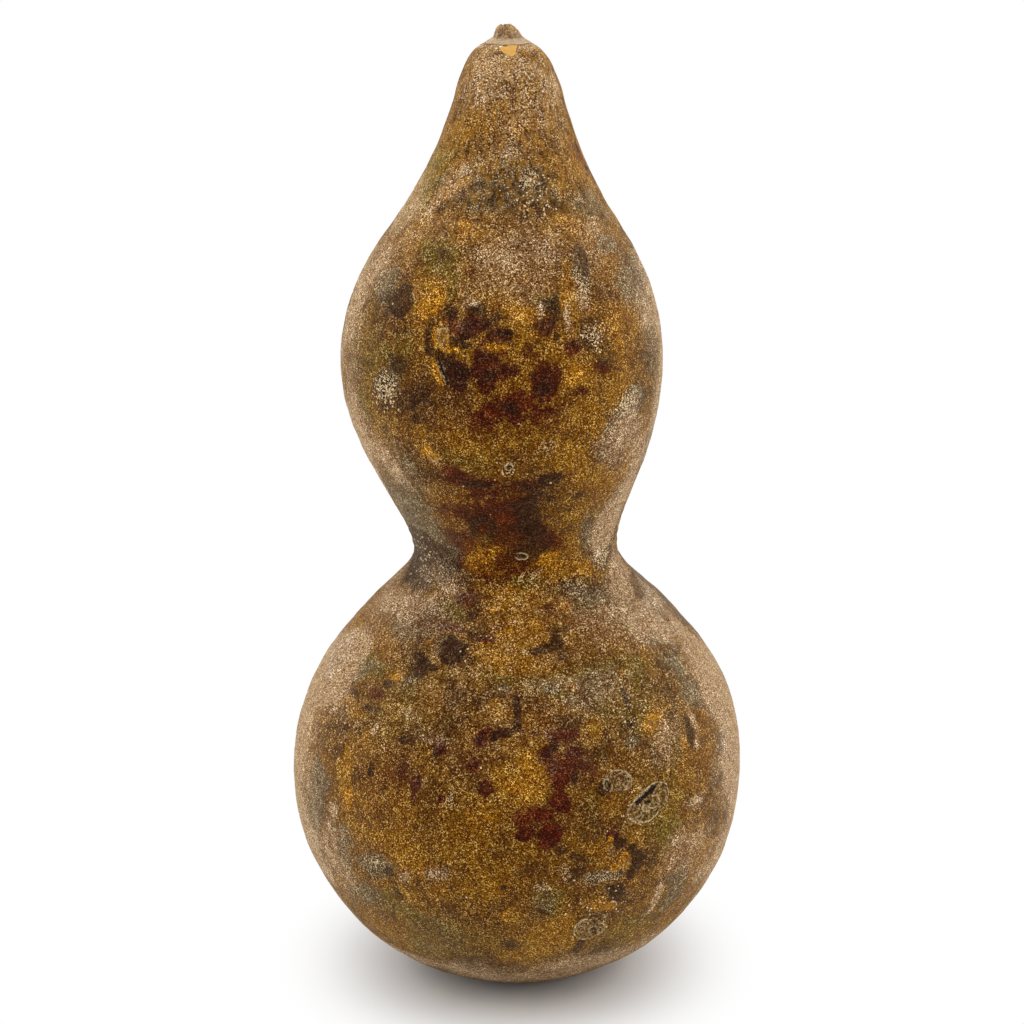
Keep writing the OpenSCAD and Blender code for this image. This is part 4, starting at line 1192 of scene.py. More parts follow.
def woody_material(name, colour, second, dusty, scale=900.0):
    """Corky fibre: streaks of two tones along Z, with dark pores and settled dust on upward faces, which is
    partly painted light from above.
    """
    material, w, surface, place = new_material(name)
    fibres = w.add("ShaderNodeGroup", {"Vector": place, "Scale": scale}, node_tree=fibre_group())
    streak = w.step(fibres.outputs["Streak"], 0.36, 0.64)
    shade = w.mix(streak, rgba(second), rgba(colour))
    speckle = w.add("ShaderNodeGroup", {"Vector": place, "Scale": 1900.0}, node_tree=grain_group())
    shade = w.mix(speckle.outputs["Dark"], shade, w.mix(1.0, shade, (0.45, 0.36, 0.2, 1), "MULTIPLY"))
    shade = w.mix(w.math("MULTIPLY", speckle.outputs["Pale"], 0.4), shade, rgba(dusty))
    dust_and_top_light = w.add("ShaderNodeGroup", {"Vector": place, "Scale": 500.0, "Amount": 0.3},
                    node_tree=dust_and_top_light_group())
    shade = w.mix(dust_and_top_light.outputs["Mask"], shade, rgba(dusty))
    height = w.math("ADD", streak, speckle.outputs["Height"])
    feed(w, surface, Base_Color=shade, Roughness=0.78, Normal=bump(w, height, 0.0004),
         Sheen_Weight=0.2, Sheen_Roughness=0.5)
    return material


def spongy_material(name, colour, second, scale):
    """Dried flesh: cells with darker pores, between two tones."""
    material, w, surface, place = new_material(name)
    cells = w.add("ShaderNodeTexVoronoi", {"Vector": place, "Scale": scale}).outputs["Distance"]
    pores = w.step(cells, 0.15, 0.5)
    shade = w.mix(pores, rgba(second), rgba(colour))
    stain = w.step(w.noise(place, scale * 0.14, 4.0, 0.6), 0.45, 0.7)
    shade = w.mix(w.math("MULTIPLY", stain, 0.4), shade, rgba(second))
    feed(w, surface, Base_Color=shade, Roughness=0.88, Normal=bump(w, pores, 0.0006),
         Sheen_Weight=0.3, Sheen_Roughness=0.5)
    return material


def seed_material(colours):
    """Seed coats: smooth, with fine darker streaks along Z."""
    material, w, surface, place = new_material("Seed coats")
    lines = w.noise(w.stretch(place, (3.0, 3.0, 0.5)), 700.0, 3.0)
    shade = w.mix(w.step(lines, 0.35, 0.65), rgba(colours.dark), rgba(colours.seeds))
    shade = w.mix(0.6, shade, rgba(colours.seeds))
    feed(w, surface, Base_Color=shade, Roughness=0.45, Normal=bump(w, lines, 0.0002), Coat_Weight=0.15,
         Coat_Roughness=0.3)
    return material


# Pieces


class GourdOperator:
    """What the gourd's operators share: they run in any mode and can be undone."""

    bl_options = {"REGISTER", "UNDO"}

    def execute(self, context):
        self.build(context.scene.gourd_skin, context.scene.gourd_colours)
        return {"FINISHED"}


class GOURD_OT_skin(GourdOperator, bpy.types.Operator):
    """Make the skin over the outline, with its hollow, its stem hole and its inner side"""

    bl_idname = "gourd.make_skin"
    bl_label = "Skin"

    def build(self, sizes, colours):
        """A closed surface: a path of rings from the middle of the foot's hollow, over the foot and up
        the outline, in through the stem's hole and down the inner side to its lowest point. The inner
        side is the outline moved inwards by the rind's thickness, along its normal. The columns crowd at
        the front, where the finest marks are."""
        along = np.linspace(0, ALONG[-1], sizes.rows)
        radius = np.interp(along, ALONG, OUTLINE[:, 0])
        height = np.interp(along, ALONG, OUTLINE[:, 1])
        hollow = SCAR_RADIUS * np.array([0.25, 0.5, 0.75, 1.0, 1.0])
        hollow_z = np.array([1, 1, 1, 1, 0.5]) * SCAR_DEPTH
        foot = np.linspace(SCAR_RADIUS, FOOT_RADIUS, 8, endpoint=False)
        hole = np.array([4.2, HOLE_RADIUS, HOLE_RADIUS, HOLE_RADIUS, 4.3])
        hole_z = SEAT - np.array([0, 0, 3, CROWN_RIND, CROWN_RIND])
        picks = np.linspace(ALONG[-1], 0, 20)
        wall = RIND + (CROWN_RIND - RIND) * ease(
            (np.interp(picks, ALONG, OUTLINE[:, 1]) - UPPER) / (SEAT - UPPER)
        )
        inner = np.interp(picks, ALONG, OUTLINE[:, 0]) - wall * np.interp(picks, ALONG, SLOPE[:, 1])
        inner_z = np.interp(picks, ALONG, OUTLINE[:, 1]) + wall * np.interp(picks, ALONG, SLOPE[:, 0])
        floor = inner[-1] * np.array([0.66, 0.33])
        all_radius = np.concatenate([hollow, foot, radius, hole, inner, floor])
        all_height = np.concatenate([hollow_z, 0 * foot, height, hole_z, inner_z, 0 * floor + inner_z[-1]])
        start = len(hollow) + len(foot)
        outer = slice(start, start + sizes.rows)
        side = np.linspace(0, 2 * np.pi, sizes.columns, endpoint=False)[None, :]
        side = side - 0.45 * np.sin(side)
        points = np.stack([
            bow(all_height)[:, None] + all_radius[:, None] * np.sin(side),
            -all_radius[:, None] * np.cos(side),
            np.broadcast_to(all_height[:, None], (len(all_height), sizes.columns)),
        ], -1)
        outside, _ = skin(side, along[:, None], 0.0, sizes)
        outside[..., 2] = np.maximum(outside[..., 2], 0)
        points[outer] = outside
        values = {key: np.zeros(points.shape[:2]) for key in (*STAINS, "inner")}
        for key, mask in stain_masks(side, along[:, None]).items():
            values[key][outer] = mask
        values["dust"][:start] = 0.4
        values["inner"][outer.stop + 1:] = 1
        poles = np.array([[0, 0, SCAR_DEPTH], [0, 0, inner_z[-1]]])
        quads, triangles = closed_faces(len(all_height), sizes.columns)
        flat = {key: np.append(value.ravel(), [value[0, 0], value[-1, 0]]) for key, value in values.items()}
        piece = add_piece("gourd_skin", np.concatenate([points.reshape(-1, 3), poles]), quads, triangles,
                          skin_material(colours), flat)
        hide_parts("woody_shell")


class GOURD_OT_stem(GourdOperator, bpy.types.Operator):
    """Make the broken stem: ridged wall, torn top, collar on the seat and root in its hole"""

    bl_idname = "gourd.make_stem"
    bl_label = "Stem"

    def build(self, sizes, colours):
        """A ring-shaped grid. Its path runs out under the root, up the root, out over the collar, up the
        ridged wall to the break, in over the torn fibres and down the pith's hole. The wall's radius is
        a circle with five ridges. The break is highest left of the middle and slopes off to the right,
        with splinters from a smooth random field."""
        angle = np.linspace(0, 2 * np.pi, 200, endpoint=False)
        rng = np.random.default_rng(7)
        ragged = sum(np.sin(n * angle + rng.uniform(0, 6.3)) / n**0.5 for n in (3, 5, 9, 14, 21, 33, 47))
        ridge = 0.5 + 0.5 * np.cos(5 * angle + 0.6 + 0.3 * np.sin(angle))
        wall = 3.9 + 0.45 * ridge + 0.06 * ragged

        def break_height(radius):
            x = radius * np.cos(angle)
            place = np.stack([x, radius * np.sin(angle), 0 * angle], -1)
            right = 0.5 * np.clip(x - 0.7, 0, None) ** 1.3
            left = 0.28 * np.clip(-1.7 - x, 0, None) ** 1.8
            return SEAT + 4.75 - right - left + 0.22 * waves(place, 1.4, 23) + 0.14 * waves(place, 0.6, 24)

        rings = [(np.full_like(angle, r), np.full_like(angle, z)) for r, z in (
            (1.3, ROOT_FOOT), (2.4, ROOT_FOOT), (3.38, ROOT_FOOT), (3.38, 287.0), (3.38, 291.0),
            (3.38, 294.6), (3.6, 295.02),
        )]
        collar = 6.9 + 0.25 * np.sin(5 * angle + 2) + 0.12 * ragged
        for share, lift in ((0.5, 0.0), (1.0, -0.22), (0.93, 0.0), (0.75, 0.32), (0.55, 0.62), (0.36, 0.95)):
            rings.append((4.3 + (collar - 4.3) * share, SEAT + lift + 0.04 * ragged * share))
        top = break_height(wall) - 0.25
        for t in np.linspace(0, 1, 16):
            flare = 0.6 * (1 - t) ** 3 - 0.25 * t**4
            rings.append((wall + flare + 0.05 * np.sin(3 * angle + 9 * t), SEAT + 1.3 + t * (top - SEAT - 1.3)))
        for t in np.linspace(0.1, 1, 26):
            radius = wall - 0.25 + t * (1.35 - wall + 0.25)
            rings.append((radius, break_height(radius) - 0.9 * ease((t - 0.8) / 0.2)))
        for z in (294.0, 291.0, 287.0):
            rings.append((np.full_like(angle, 1.3), np.full_like(angle, z)))
        radius, height = (np.array([ring[n] for ring in rings]) for n in range(2))
        centre = BOW[-1][1]
        points = np.stack([centre + radius * np.cos(angle), radius * np.sin(angle), height], -1)
        quads, triangles = looped_faces(len(rings), len(angle))
        torn = np.zeros_like(radius)
        torn[27:] = 1
        material = self.finish(colours)
        piece = add_piece("broken_stem", points.reshape(-1, 3), quads, triangles, material,
                          {"torn": torn})
        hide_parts("stem_stub")

    def finish(self, colours):
        """Corky fibre with a greyish collar and paler torn fibres."""
        material = woody_material("Corky stem", colours.stem, colours.button, colours.dust, 1100.0)
        w = Wiring(material.node_tree)
        surface = next(n for n in w.tree.nodes if n.type == "BSDF_PRINCIPLED")
        shade = surface.inputs["Base Color"].links[0].from_socket
        place = w.coordinates()
        fresh = w.mix(w.step(w.noise(place, 1400.0, 3.0), 0.38, 0.6), rgba(colours.dark), rgba(colours.break_))
        shade = w.mix(w.math("MULTIPLY", w.attribute("torn"), 0.75), shade, fresh)
        height = w.add("ShaderNodeSeparateXYZ", {0: place}).outputs["Z"]
        collar = w.math("MULTIPLY", w.step(height, 0.2968, 0.2960), 0.75)
        w.tree.links.new(w.mix(collar, shade, rgba(colours.dust)), surface.inputs["Base Color"])
        return material


class GOURD_OT_pith(GourdOperator, bpy.types.Operator):
    """Make the soft pith in the stem, torn off below the break"""

    bl_idname = "gourd.make_pith"
    bl_label = "Pith"

    def build(self, sizes, colours):
        """A column of rings with a domed, torn top: its height there is a smooth random field."""
        angle = np.linspace(0, 2 * np.pi, 56, endpoint=False)
        heights = np.concatenate([[ROOT_FOOT, ROOT_FOOT], np.linspace(ROOT_FOOT + 0.3, 296.8, 14)])
        rings = [(1.15 * share, z) for share, z in zip([0.6, 1.0] + [1.0] * 14, heights)]
        rings += [(1.15 * s, 296.9 + 0.25 * (1 - s)) for s in (0.92, 0.75, 0.55, 0.35, 0.15)]
        radius = np.array([r for r, _ in rings])[:, None] * (1 + 0.03 * np.sin(7 * angle))
        height = np.broadcast_to(np.array([z for _, z in rings])[:, None], radius.shape).copy()
        centre = BOW[-1][1]
        points = np.stack([centre + radius * np.cos(angle), radius * np.sin(angle), height], -1)
        points[15:, :, 2] += 0.22 * waves(points[15:], 1.1, 17)
        poles = np.array([[centre, 0, ROOT_FOOT], [centre, 0, points[-1, :, 2].mean() + 0.05]])
        quads, triangles = closed_faces(len(rings), len(angle))
        material = spongy_material("Soft pith", colours.pith, colours.stem, 1600.0)
        piece = add_piece("torn_pith", np.concatenate([points.reshape(-1, 3), poles]), quads, triangles,
                          material)
        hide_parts("stem_pith")


class GOURD_OT_button(GourdOperator, bpy.types.Operator):
    """Make the corky button that the blossom left in the foot's hollow"""

    bl_idname = "gourd.make_button"
    bl_label = "Blossom button"

    def build(self, sizes, colours):
        """A disc of rings whose underside has a rim, a dish with radial cracks and a nub."""
        angle = np.linspace(0, 2 * np.pi, 120, endpoint=False)
        share = np.linspace(0.06, 1, 26)[:, None]
        cracks = np.clip(np.cos(7 * angle + 1.5 * np.sin(3 * angle)), 0.6, 1) - 0.6
        under = 0.85 - 0.25 * np.exp(-((share / 0.16) ** 2)) - 0.22 * np.exp(-(((share - 0.86) / 0.1) ** 2))
        under = under + 0.9 * cracks * np.sin(np.pi * share) ** 2 * 0.5 + 0.03 * np.sin(30 * share)
        radius = np.concatenate([5.36 * share, 5.36 * share[::-1]]) * (1 + 0 * angle)
        height = np.concatenate([under, np.full_like(share, SCAR_DEPTH) * (1 + 0 * angle)])
        height = height * (1 + 0 * angle)
        points = np.stack([radius * np.sin(angle), -radius * np.cos(angle), height], -1)
        poles = np.array([[0, 0, points[0, :, 2].mean()], [0, 0, SCAR_DEPTH]])
        quads, triangles = closed_faces(len(points), len(angle))
        material = woody_material("Corky button", colours.button, colours.dark, colours.dust, 700.0)
        piece = add_piece("blossom_button", np.concatenate([points.reshape(-1, 3), poles]), quads,
                          triangles, material)
        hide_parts("blossom_scar")


def arc_distance(x, y, arc):
    """Distance from an arc of an ellipse: its middle, half sizes, and start and end in degrees."""
    middle_x, middle_y, half_width, half_height, start, end = arc
    steps = np.radians(np.linspace(start, end, 24))
    path_x, path_y = middle_x + half_width * np.cos(steps), middle_y + half_height * np.sin(steps)
    return np.hypot(x[:, None] - path_x, y[:, None] - path_y).min(1)


def line_distance(x, y, corners):
    """Distance from a line through corners."""
    best = np.full_like(x, 1e9)
    for (ax, ay), (bx, by) in zip(corners, corners[1:]):
        t = ((x - ax) * (bx - ax) + (y - ay) * (by - ay)) / ((bx - ax) ** 2 + (by - ay) ** 2)
        t = np.clip(t, 0, 1)
        best = np.minimum(best, np.hypot(x - ax - t * (bx - ax), y - ay - t * (by - ay)))
    return best


def scab_profile(rims, arcs, cracks, warm, thickness, seed):
    """The profile of a crust: ragged ridges along parts of its rim and along inner arcs, black cracks,
    and a grained top. A rim is a start and an end in degrees and a strength."""

    def profile(inward, x, y):
        rough = waves(np.stack([x, y, 0 * x], -1), 1.6, seed)
        fine = waves(np.stack([x, y, 0 * x], -1), 0.7, seed + 1)
        broken = np.clip(0.9 + 0.7 * waves(np.stack([x, y, 0 * x], -1), 1.3, seed + 2, 40), 0.3, 1.2)
        angle = np.arctan2(y, x)
        ridge = np.zeros_like(x)
        for start, end, strength in rims:
            middle, half = math.radians((start + end) / 2), math.radians((end - start) / 2)
            away = np.abs((angle - middle + np.pi) % (2 * np.pi) - np.pi)
            line = np.exp(-(((inward - 0.42 - 0.1 * rough - 0.1 * fine) / 0.19) ** 2))
            ridge = np.maximum(ridge, strength * ease((half - away) / 0.3 + 0.5) * line)
        for *arc, strength in arcs:
            away = arc_distance(x + 0.22 * rough + 0.1 * fine, y + 0.25 * broken - 0.1 * fine, arc)
            ridge = np.maximum(ridge, strength * np.exp(-((away / 0.19) ** 2)))
        ridge *= broken
        crack = np.zeros_like(x)
        for width, *corners in cracks:
            away = line_distance(x, y, corners) + 0.16 * rough + 0.12 * fine
            crack = np.maximum(crack, ease((width - away) / 0.22 + 0.5))
        edge = ease(inward / 0.3)
        rise = 0.4 + 1.1 * ridge - 0.3 * crack + 0.12 * fine
        lift = thickness * np.maximum(rise, 0.15) * edge - 0.05 * (1 - edge)
        return lift, {
            "ridge": np.clip(ridge, 0, 1) * (1 - crack), "crack": crack * edge, "scab": edge,
            "grit": edge * np.clip(0.5 + rough, 0, 1), "warm": warm * edge,
        }

    return profile


RIM = ((-180, 180, 0.8),)
FAINT_RIM = ((-180, 180, 0.25),)

# Crusts and flakes. Each has its mark: side, height, turn, corners round its middle, raggedness and
# seed. Then the rim's ridges, the inner arcs with their strengths, the cracks with their half widths
# and corners, and how orange it is.
CRUSTS = (
    ((34.0, 73.6, 0, ((-8.3, -2.1), (-7.3, 0.4), (-4.4, 2.9), (-0.5, 5.0), (3.4, 6.3), (7.3, 5.0), (8.0, 2.1),
                      (6.9, -0.8), (3.4, -3.4), (0.5, -5.5), (-3.4, -5.5), (-6.9, -4.2)), 0.015, 1),
     ((60, 190, 1.0), (190, 320, 0.9), (-40, 60, 0.7)),
     ((1.6, 0.6, 2.2, 1.9, -150, 100, 1.0), (-1.0, -0.6, 1.6, 1.2, 120, 300, 0.7),
      (-4.4, -2.2, 2.6, 2.0, 190, 340, 0.5), (-4.2, -2.0, 1.5, 1.1, 200, 350, 0.5),
      (4.4, 1.0, 2.2, 3.2, -70, 50, 0.4)),
     ((0.75, (-4.2, 1.2), (-1.5, 2.7), (2.6, 4.7)), (0.4, (-1.4, 0.6), (-0.2, 0.9), (0.4, 0.0))), 0.0),
    ((25.4, 82.4, 0, ((-5.4, -1.8), (-5.0, 1.0), (-2.6, 3.0), (0.8, 3.4), (3.6, 2.2), (5.2, -0.6), (4.2, -3.0),
                      (1.0, -3.2), (-2.6, -3.4)), 0.03, 2),
     ((-60, 70, 0.9), (70, 130, 0.5)),
     ((1.6, 0.2, 2.6, 2.2, -70, 110, 0.6), (3.0, -1.4, 1.0, 0.9, 0, 360, 0.5),
      (-3.6, -0.4, 1.2, 1.6, 60, 260, 0.5)), ((0.25, (-3.4, 0.2), (-2.6, -1.4)),), 0.0),
    ((20.0, 34.2, 0, ((-5.4, 0.6), (-4.2, 3.4), (-2.2, 4.9), (0.6, 2.6), (3.4, 2.0), (5.6, -0.4), (5.0, -3.2),
                      (2.4, -5.2), (-1.0, -5.4), (-3.8, -3.6)), 0.03, 3),
     ((90, 215, 1.0), (225, 290, 0.7), (-40, 30, 0.7)),
     ((-3.0, 0.2, 1.3, 1.6, 0, 360, 0.6), (-2.2, 2.2, 1.6, 1.4, 20, 200, 0.5),
      (2.6, -1.6, 1.9, 2.0, -100, 60, 0.6), (1.0, -0.6, 1.0, 1.4, 90, 270, 0.4)),
     ((0.35, (0.6, -0.2), (2.0, -0.9)), (0.3, (1.6, -2.2), (2.6, -2.6))), 0.0),
    ((24.3, 42.0, 8, oval(2.9, 1.9), 0.08, 4), ((-50, 80, 0.9),), (), (), 1.05),
    ((49.5, 70.4, 0, oval(1.5, 1.4), 0.03, 5), ((-180, 180, 1.0),), ((0, 0, 0.35, 0.35, 0, 360, 0.8),), (),
     0.0),
    ((36.3, 110.0, 0, oval(1.2, 1.2), 0.03, 6), RIM, (), (), 0.9),
    ((1.9, 175.1, 0, oval(1.6, 1.7), 0.05, 7), ((0, 290, 1.0),), (), ((0.3, (0, 0), (0.3, 0.1)),), 0.0),
    ((4.0, 143.6, 0, oval(2.2, 1.5), 0.06, 8), ((-180, 120, 0.9),), (), (), 0.0),
    ((-20.5, 204.0, 27, oval(1.0, 5.0), 0.08, 10), ((120, 250, 0.5),), (),
     ((0.32, (0.2, -4.0), (0.1, 4.2)),), 0.6),
    ((-21.7, 214.6, 0, oval(2.2, 3.2), 0.09, 11), FAINT_RIM, ((0, 0.6, 1.2, 1.6, 20, 200, 0.4),), (), 0.75),
    ((1.7, 293.7, 0, ((-2.8, 0.1), (-0.4, 1.4), (2.1, 2.6), (2.8, 2.2), (2.5, 0.2), (2.3, -1.0), (1.2, -2.8),
                      (-0.5, -1.9), (-1.9, -1.1)), 0.01, 12), (), (), (), 2.0),
    ((39.9, 96.4, 0, oval(2.2, 2.1), 0.1, 13), (), (), (), 0.95),
    ((-26.0, 177.3, 0, oval(1.8, 1.5), 0.1, 14), FAINT_RIM, (), (), 1.1),
    ((23.2, 61.5, 4, oval(0.9, 2.9), 0.12, 15), (), (), (), 0.6),
    ((23.4, 53.2, 0, oval(0.8, 1.7), 0.12, 16), (), (), (), 0.6),
    ((27.6, 55.4, -8, oval(1.4, 2.4), 0.1, 17), ((150, 260, 0.4),), (), (), 0.85),
    ((160, 96, 30, oval(7.2, 4.8), 0.05, 18), ((20, 200, 1.0), (220, 330, 0.7)),
     ((-1.5, 0.4, 2.2, 1.8, 0, 300, 0.8),), ((0.6, (1.0, 2.0), (4.0, 0.6)),), 0.0),
    ((236, 48, -20, oval(5.8, 6.0), 0.05, 19), ((90, 280, 1.0),), ((1.2, -1.2, 1.8, 1.8, 0, 270, 0.7),), (),
     0.0),
    ((201, 214, 10, oval(4.2, 4.8), 0.05, 20), ((-60, 120, 0.9),), ((0.4, 0.4, 1.5, 1.4, 0, 300, 0.6),), (),
     0.0),
    ((118, 60, 0, oval(2.4, 2.6), 0.1, 21), FAINT_RIM, (), (), 0.95),
    ((262, 176, 0, oval(2.2, 2.8), 0.1, 22), FAINT_RIM, (), (), 0.95),
)


class GOURD_OT_crusts(GourdOperator, bpy.types.Operator):
    """Make the crusts of dried sap, the lifted rings and the flaked spots on the skin"""

    bl_idname = "gourd.make_crusts"
    bl_label = "Crusts and flakes"

    def build(self, sizes, colours):
        """Each crust is a thin closed flake over the skin, with its own profile."""
        parts = []
        for mark, rims, arcs, cracks, warm in CRUSTS:
            large = np.hypot(*np.array(mark[3]).T).max() > 4
            profile = scab_profile(rims, arcs, cracks, warm, sizes.crust / MM, mark[-1] + 60)
            parts.append(patch_mesh(mark, 56 if large else 18, 220 if large else 64, profile, sizes))
        points, quads, triangles, values = joined(parts)
        add_piece("sap_crusts", points, quads, triangles, crust_material(colours), values)


# Where specks crowd: side, height, spread over the skin and how many of each hundred specks.
SPECK_CROWDS = (
    (15, 256, 5, 6), (35, 213, 5, 8), (-44, 195, 5, 9), (-61, 138, 8, 12), (57, 139, 5, 4), (20, 250, 8, 4),
    (2, 175, 4, 2), (33, 100, 8, 4), (-8, 120, 16, 5), (30, 72, 9, 6), (22, 40, 9, 6), (-55, 90, 12, 4),
)


class GOURD_OT_specks(GourdOperator, bpy.types.Operator):
    """Scatter the specks of salt and mould over the skin"""

    bl_idname = "gourd.make_specks"
    bl_label = "Specks"

    def build(self, sizes, colours):
        """Each speck is a low eight-sided dome, half sunk into the skin, stretched one way."""
        for name, seed, share, colour, second in (
            ("salt_specks", 5, 0.6, colours.glint, colours.dust),
            ("mould_specks", 6, 0.4, colours.mould, colours.dark),
        ):
            points, quads, triangles = self.scatter(sizes, int(sizes.specks * share), seed)
            add_piece(name, points, quads, triangles,
                      speck_material(name.replace("_", " ").capitalize(), colour, second))

    def scatter(self, sizes, count, seed):
        """Specks in crowds and all round, as one set of points and faces."""
        rng = np.random.default_rng(seed)
        side = rng.uniform(-np.pi, np.pi, count)
        along = rng.uniform(12, ALONG[-1] - 6, count)
        start = 0
        for crowd_side, height, spread, percent in SPECK_CROWDS:
            some = slice(start, start + count * percent // 100)
            n = some.stop - some.start
            along[some] = np.clip(along_at(height) + rng.normal(0, spread / 2, n), 3, ALONG[-1] - 4)
            radius = np.interp(along[some], ALONG, OUTLINE[:, 0])
            side[some] = math.radians(crowd_side) + rng.normal(0, spread / 2, n) / radius
            start = some.stop
        width = sizes.speck / MM * 0.5 * rng.uniform(0.5, 1.5, count)
        stretch, turn = rng.uniform(1, 1.7, count), rng.uniform(0, np.pi, count)
        angle = np.linspace(0, 2 * np.pi, 8, endpoint=False)
        rings = ((0.75, -0.5), (1.0, 0.0), (0.66, 0.32), (0.3, 0.46))
        radius = np.interp(along, ALONG, OUTLINE[:, 0])
        points = []
        for reach, lift in (*rings, (0.0, -0.5), (0.0, 0.5)):
            u0, v0 = reach * np.cos(angle), reach * np.sin(angle)
            if reach == 0:
                u0, v0 = u0[:1], v0[:1]
            u = width[:, None] * stretch[:, None] * u0
            v = width[:, None] * v0
            c, s = np.cos(turn)[:, None], np.sin(turn)[:, None]
            at = along[:, None] + s * u + c * v
            around = side[:, None] + (c * u - s * v) / radius[:, None]
            lifts = np.broadcast_to((width * lift * 0.8)[:, None], at.shape)
            points.append(skin(around, at, lifts, sizes)[0])
        points = np.concatenate(points, 1)
        each = points.shape[1]
        quads, triangles = closed_faces(len(rings), 8)
        if volume(points[0] - points[0].mean(0), quads, triangles) < 0:
            quads, triangles = quads[:, ::-1], triangles[:, ::-1]
        shift = (np.arange(count) * each)[:, None, None]
        return (points.reshape(-1, 3), (quads[None] + shift).reshape(-1, 4),
                (triangles[None] + shift).reshape(-1, 3))


class GOURD_OT_inner_finishes(GourdOperator, bpy.types.Operator):
    """Give the lining, the partitions, the pulp, the seeds and the fibres their finishes"""

    bl_idname = "gourd.finish_inside"
    bl_label = "Inner finishes"

    def build(self, sizes, colours):
        """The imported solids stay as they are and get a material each."""
        pulp = spongy_material("Shrunken pulp", colours.pulp, colours.stem, 420.0)
        seeds = seed_material(colours)
        finishes = {
            "inner_lining": spongy_material("Spongy lining", colours.lining, colours.inside, 520.0),
            "partition_web": spongy_material("Papery web", colours.web, colours.lining, 900.0),
            "upper_pulp": pulp,
            "pulp_strands": woody_material("Dried strands", colours.strands, colours.stem, colours.dust),
            "loose_seeds": seeds,
        }
        for n in (1, 2, 3):
            finishes[f"pulp_lobe_{n}"] = pulp
            finishes[f"lobe_seeds_{n}"] = seeds
        for name, material in finishes.items():
            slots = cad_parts[name].data.materials
            slots.clear()
            slots.append(material)


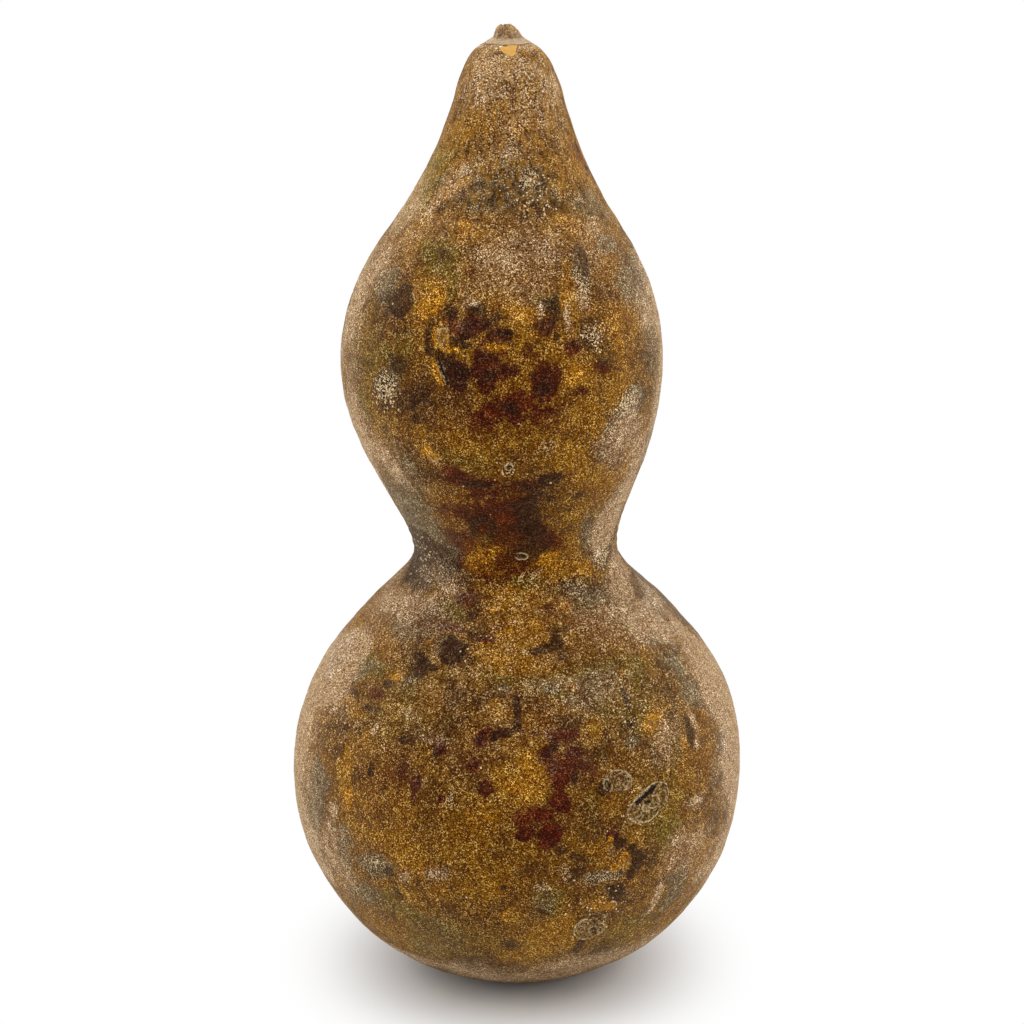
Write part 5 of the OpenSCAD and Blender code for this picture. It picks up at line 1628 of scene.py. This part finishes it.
class GOURD_OT_stage(bpy.types.Operator):
    """Make the pale floor, the white surround, the soft lamps and the camera"""

    bl_idname = "gourd.make_stage"
    bl_label = "Stage"
    bl_options = {"REGISTER", "UNDO"}

    def execute(self, context):
        stage = context.scene.gourd_stage
        self.floor(stage.floor_radius)
        self.surround(context.scene, stage)
        for name, power, size, place in (
            ("Left lamp", stage.side_power, (0.9, 1.3), (-1.15, -0.25, 0.55)),
            ("Right lamp", stage.side_power, (0.9, 1.3), (1.15, -0.25, 0.55)),
            ("Top lamp", stage.top_power, (1.1, 1.1), (0.0, 0.0, 1.45)),
            ("Front lamp", stage.front_power, (1.2, 0.8), (0.0, -1.6, 0.9)),
        ):
            self.lamp(name, power, size, place)
        self.camera(context.scene, stage)
        context.scene.view_settings.view_transform = "Standard"
        return {"FINISHED"}

    def floor(self, radius):
        """A disc of rings round its middle, as wide as the camera sees."""
        angle = np.linspace(0, 2 * np.pi, 96, endpoint=False)
        reach = radius / MM * np.array([0.02, 0.1, 0.4, 1.0])[:, None]
        points = np.stack([reach * np.cos(angle), reach * np.sin(angle), 0 * reach * angle], -1)
        count = len(angle)
        ring = np.arange(count)
        after = (ring + 1) % count
        quads = np.concatenate([
            np.stack([i * count + ring, (i + 1) * count + ring, (i + 1) * count + after, i * count + after], -1)
            for i in range(3)
        ])
        mesh = bpy.data.meshes.new("floor")
        mesh.from_pydata((points.reshape(-1, 3) * MM).tolist(), [], [*quads.tolist(), ring.tolist()])
        mesh.materials.append(self.floor_material())
        floor = bpy.data.objects.new("floor", mesh)
        bpy.context.scene.collection.objects.link(floor)

    def floor_material(self):
        """White paper that takes the gourd's shadow. Away from the gourd, the camera sees it plain white."""
        material, w, surface, place = new_material("White floor")
        shade = w.mix(w.noise(place, 3.0, 2.0), (0.8, 0.79, 0.78, 1), (0.83, 0.82, 0.81, 1))
        feed(w, surface, Base_Color=shade, Roughness=0.95, Specular_IOR_Level=0.1)
        # The camera's white glow fades in from about 30 to 100 mm from the middle, nearer along X: painted light
        # that lightens the shadow and narrows it at the sides.
        wide = w.add("ShaderNodeVectorMath", {0: w.stretch(place, (1.25, 0.95, 1.0))}, operation="LENGTH")
        away = w.step(wide.outputs["Value"], 0.035, 0.1)
        glow = w.add("ShaderNodeEmission", {"Color": (1, 1, 1, 1), "Strength": 1.0})
        both = w.add("ShaderNodeMixShader", {0: away, 1: surface.outputs["BSDF"], 2: glow.outputs[0]})
        seen = w.add("ShaderNodeLightPath").outputs["Is Camera Ray"]
        chosen = w.add("ShaderNodeMixShader", {
            0: seen, 1: surface.outputs["BSDF"], 2: both.outputs["Shader"],
        })
        outlet = next(n for n in w.tree.nodes if n.type == "OUTPUT_MATERIAL")
        w.tree.links.new(chosen.outputs["Shader"], outlet.inputs["Surface"])
        return material

    def surround(self, scene, stage):
        """The world: white to the camera. To all other rays it is a tent that is bright at the sides and
        behind, and dimmer on the camera's side."""
        world = bpy.data.worlds.new("White surround")
        world.use_nodes = True
        world.node_tree.nodes.clear()
        w = Wiring(world.node_tree)
        way = w.add("ShaderNodeSeparateXYZ", {0: w.add("ShaderNodeTexCoord").outputs["Generated"]})
        strength = w.step(way.outputs["Y"], -0.9, 0.3, stage.front, stage.surround)
        path = w.add("ShaderNodeLightPath").outputs
        soft = w.add("ShaderNodeBackground", {"Color": (1, 1, 1, 1), "Strength": strength})
        white = w.add("ShaderNodeBackground", {"Color": (1, 1, 1, 1), "Strength": 1.0})
        chosen = w.add("ShaderNodeMixShader", {
            0: path["Is Camera Ray"], 1: soft.outputs["Background"], 2: white.outputs["Background"],
        })
        w.add("ShaderNodeOutputWorld", {"Surface": chosen.outputs["Shader"]})
        scene.world = world

    def lamp(self, name, power, size, place):
        """A soft area lamp that faces the gourd's middle."""
        light = bpy.data.lights.new(name, "AREA")
        light.shape = "RECTANGLE"
        light.size, light.size_y = size
        light.energy = power
        lamp = bpy.data.objects.new(name, light)
        bpy.context.scene.collection.objects.link(lamp)
        aim = np.array([0, 0, 0.14]) - np.array(place)
        self.turn_to(lamp, place, aim)

    def turn_to(self, thing, place, aim):
        """Puts a lamp or camera at a place, with its view along a direction."""
        flat = math.hypot(aim[0], aim[1])
        thing.location = place
        thing.rotation_euler = (math.atan2(flat, -aim[2]), 0, math.atan2(-aim[0], aim[1]))

    def camera(self, scene, stage):
        """The camera, level with a line a little to the left of the lower bulb's middle."""
        lens = bpy.data.cameras.new("Camera")
        lens.lens, lens.sensor_width, lens.sensor_fit = stage.lens, 36, "HORIZONTAL"
        camera = bpy.data.objects.new("Camera", lens)
        scene.collection.objects.link(camera)
        reach, drop = math.cos(stage.elevation), math.sin(stage.elevation)
        place = (-0.0016, -stage.distance * reach, stage.height + stage.distance * drop)
        self.turn_to(camera, place, (0, reach, -drop))
        scene.camera = camera


PIECE_OPERATORS = (
    GOURD_OT_skin, GOURD_OT_stem, GOURD_OT_pith, GOURD_OT_button, GOURD_OT_crusts, GOURD_OT_specks,
    GOURD_OT_inner_finishes, GOURD_OT_stage,
)


class GOURD_PT_panel(bpy.types.Panel):
    """Lists the gourd's sizes, colours and pieces."""

    bl_idname = "GOURD_PT_panel"
    bl_label = "Dried bottle gourd"
    bl_space_type = "VIEW_3D"
    bl_region_type = "UI"
    bl_category = "Gourd"

    def draw(self, context):
        layout = self.layout
        for group in (context.scene.gourd_skin, context.scene.gourd_colours, context.scene.gourd_stage):
            box = layout.box()
            for key in group.__annotations__:
                box.prop(group, key)
        for operator in PIECE_OPERATORS:
            layout.operator(operator.bl_idname)


CLASSES = (GourdSkinSizes, GourdColours, GourdStageSizes, *PIECE_OPERATORS, GOURD_PT_panel)


def register():
    for cls in CLASSES:
        bpy.utils.register_class(cls)
    bpy.types.Scene.gourd_skin = PointerProperty(type=GourdSkinSizes)
    bpy.types.Scene.gourd_colours = PointerProperty(type=GourdColours)
    bpy.types.Scene.gourd_stage = PointerProperty(type=GourdStageSizes)


def unregister():
    del bpy.types.Scene.gourd_stage
    del bpy.types.Scene.gourd_colours
    del bpy.types.Scene.gourd_skin
    for cls in reversed(CLASSES):
        bpy.utils.unregister_class(cls)


def main():
    """Builds every piece in order."""
    register()
    bpy.ops.gourd.make_skin()
    bpy.ops.gourd.make_stem()
    bpy.ops.gourd.make_pith()
    bpy.ops.gourd.make_button()
    bpy.ops.gourd.make_crusts()
    bpy.ops.gourd.make_specks()
    bpy.ops.gourd.finish_inside()
    bpy.ops.gourd.make_stage()


if __name__ == "__main__":
    main()
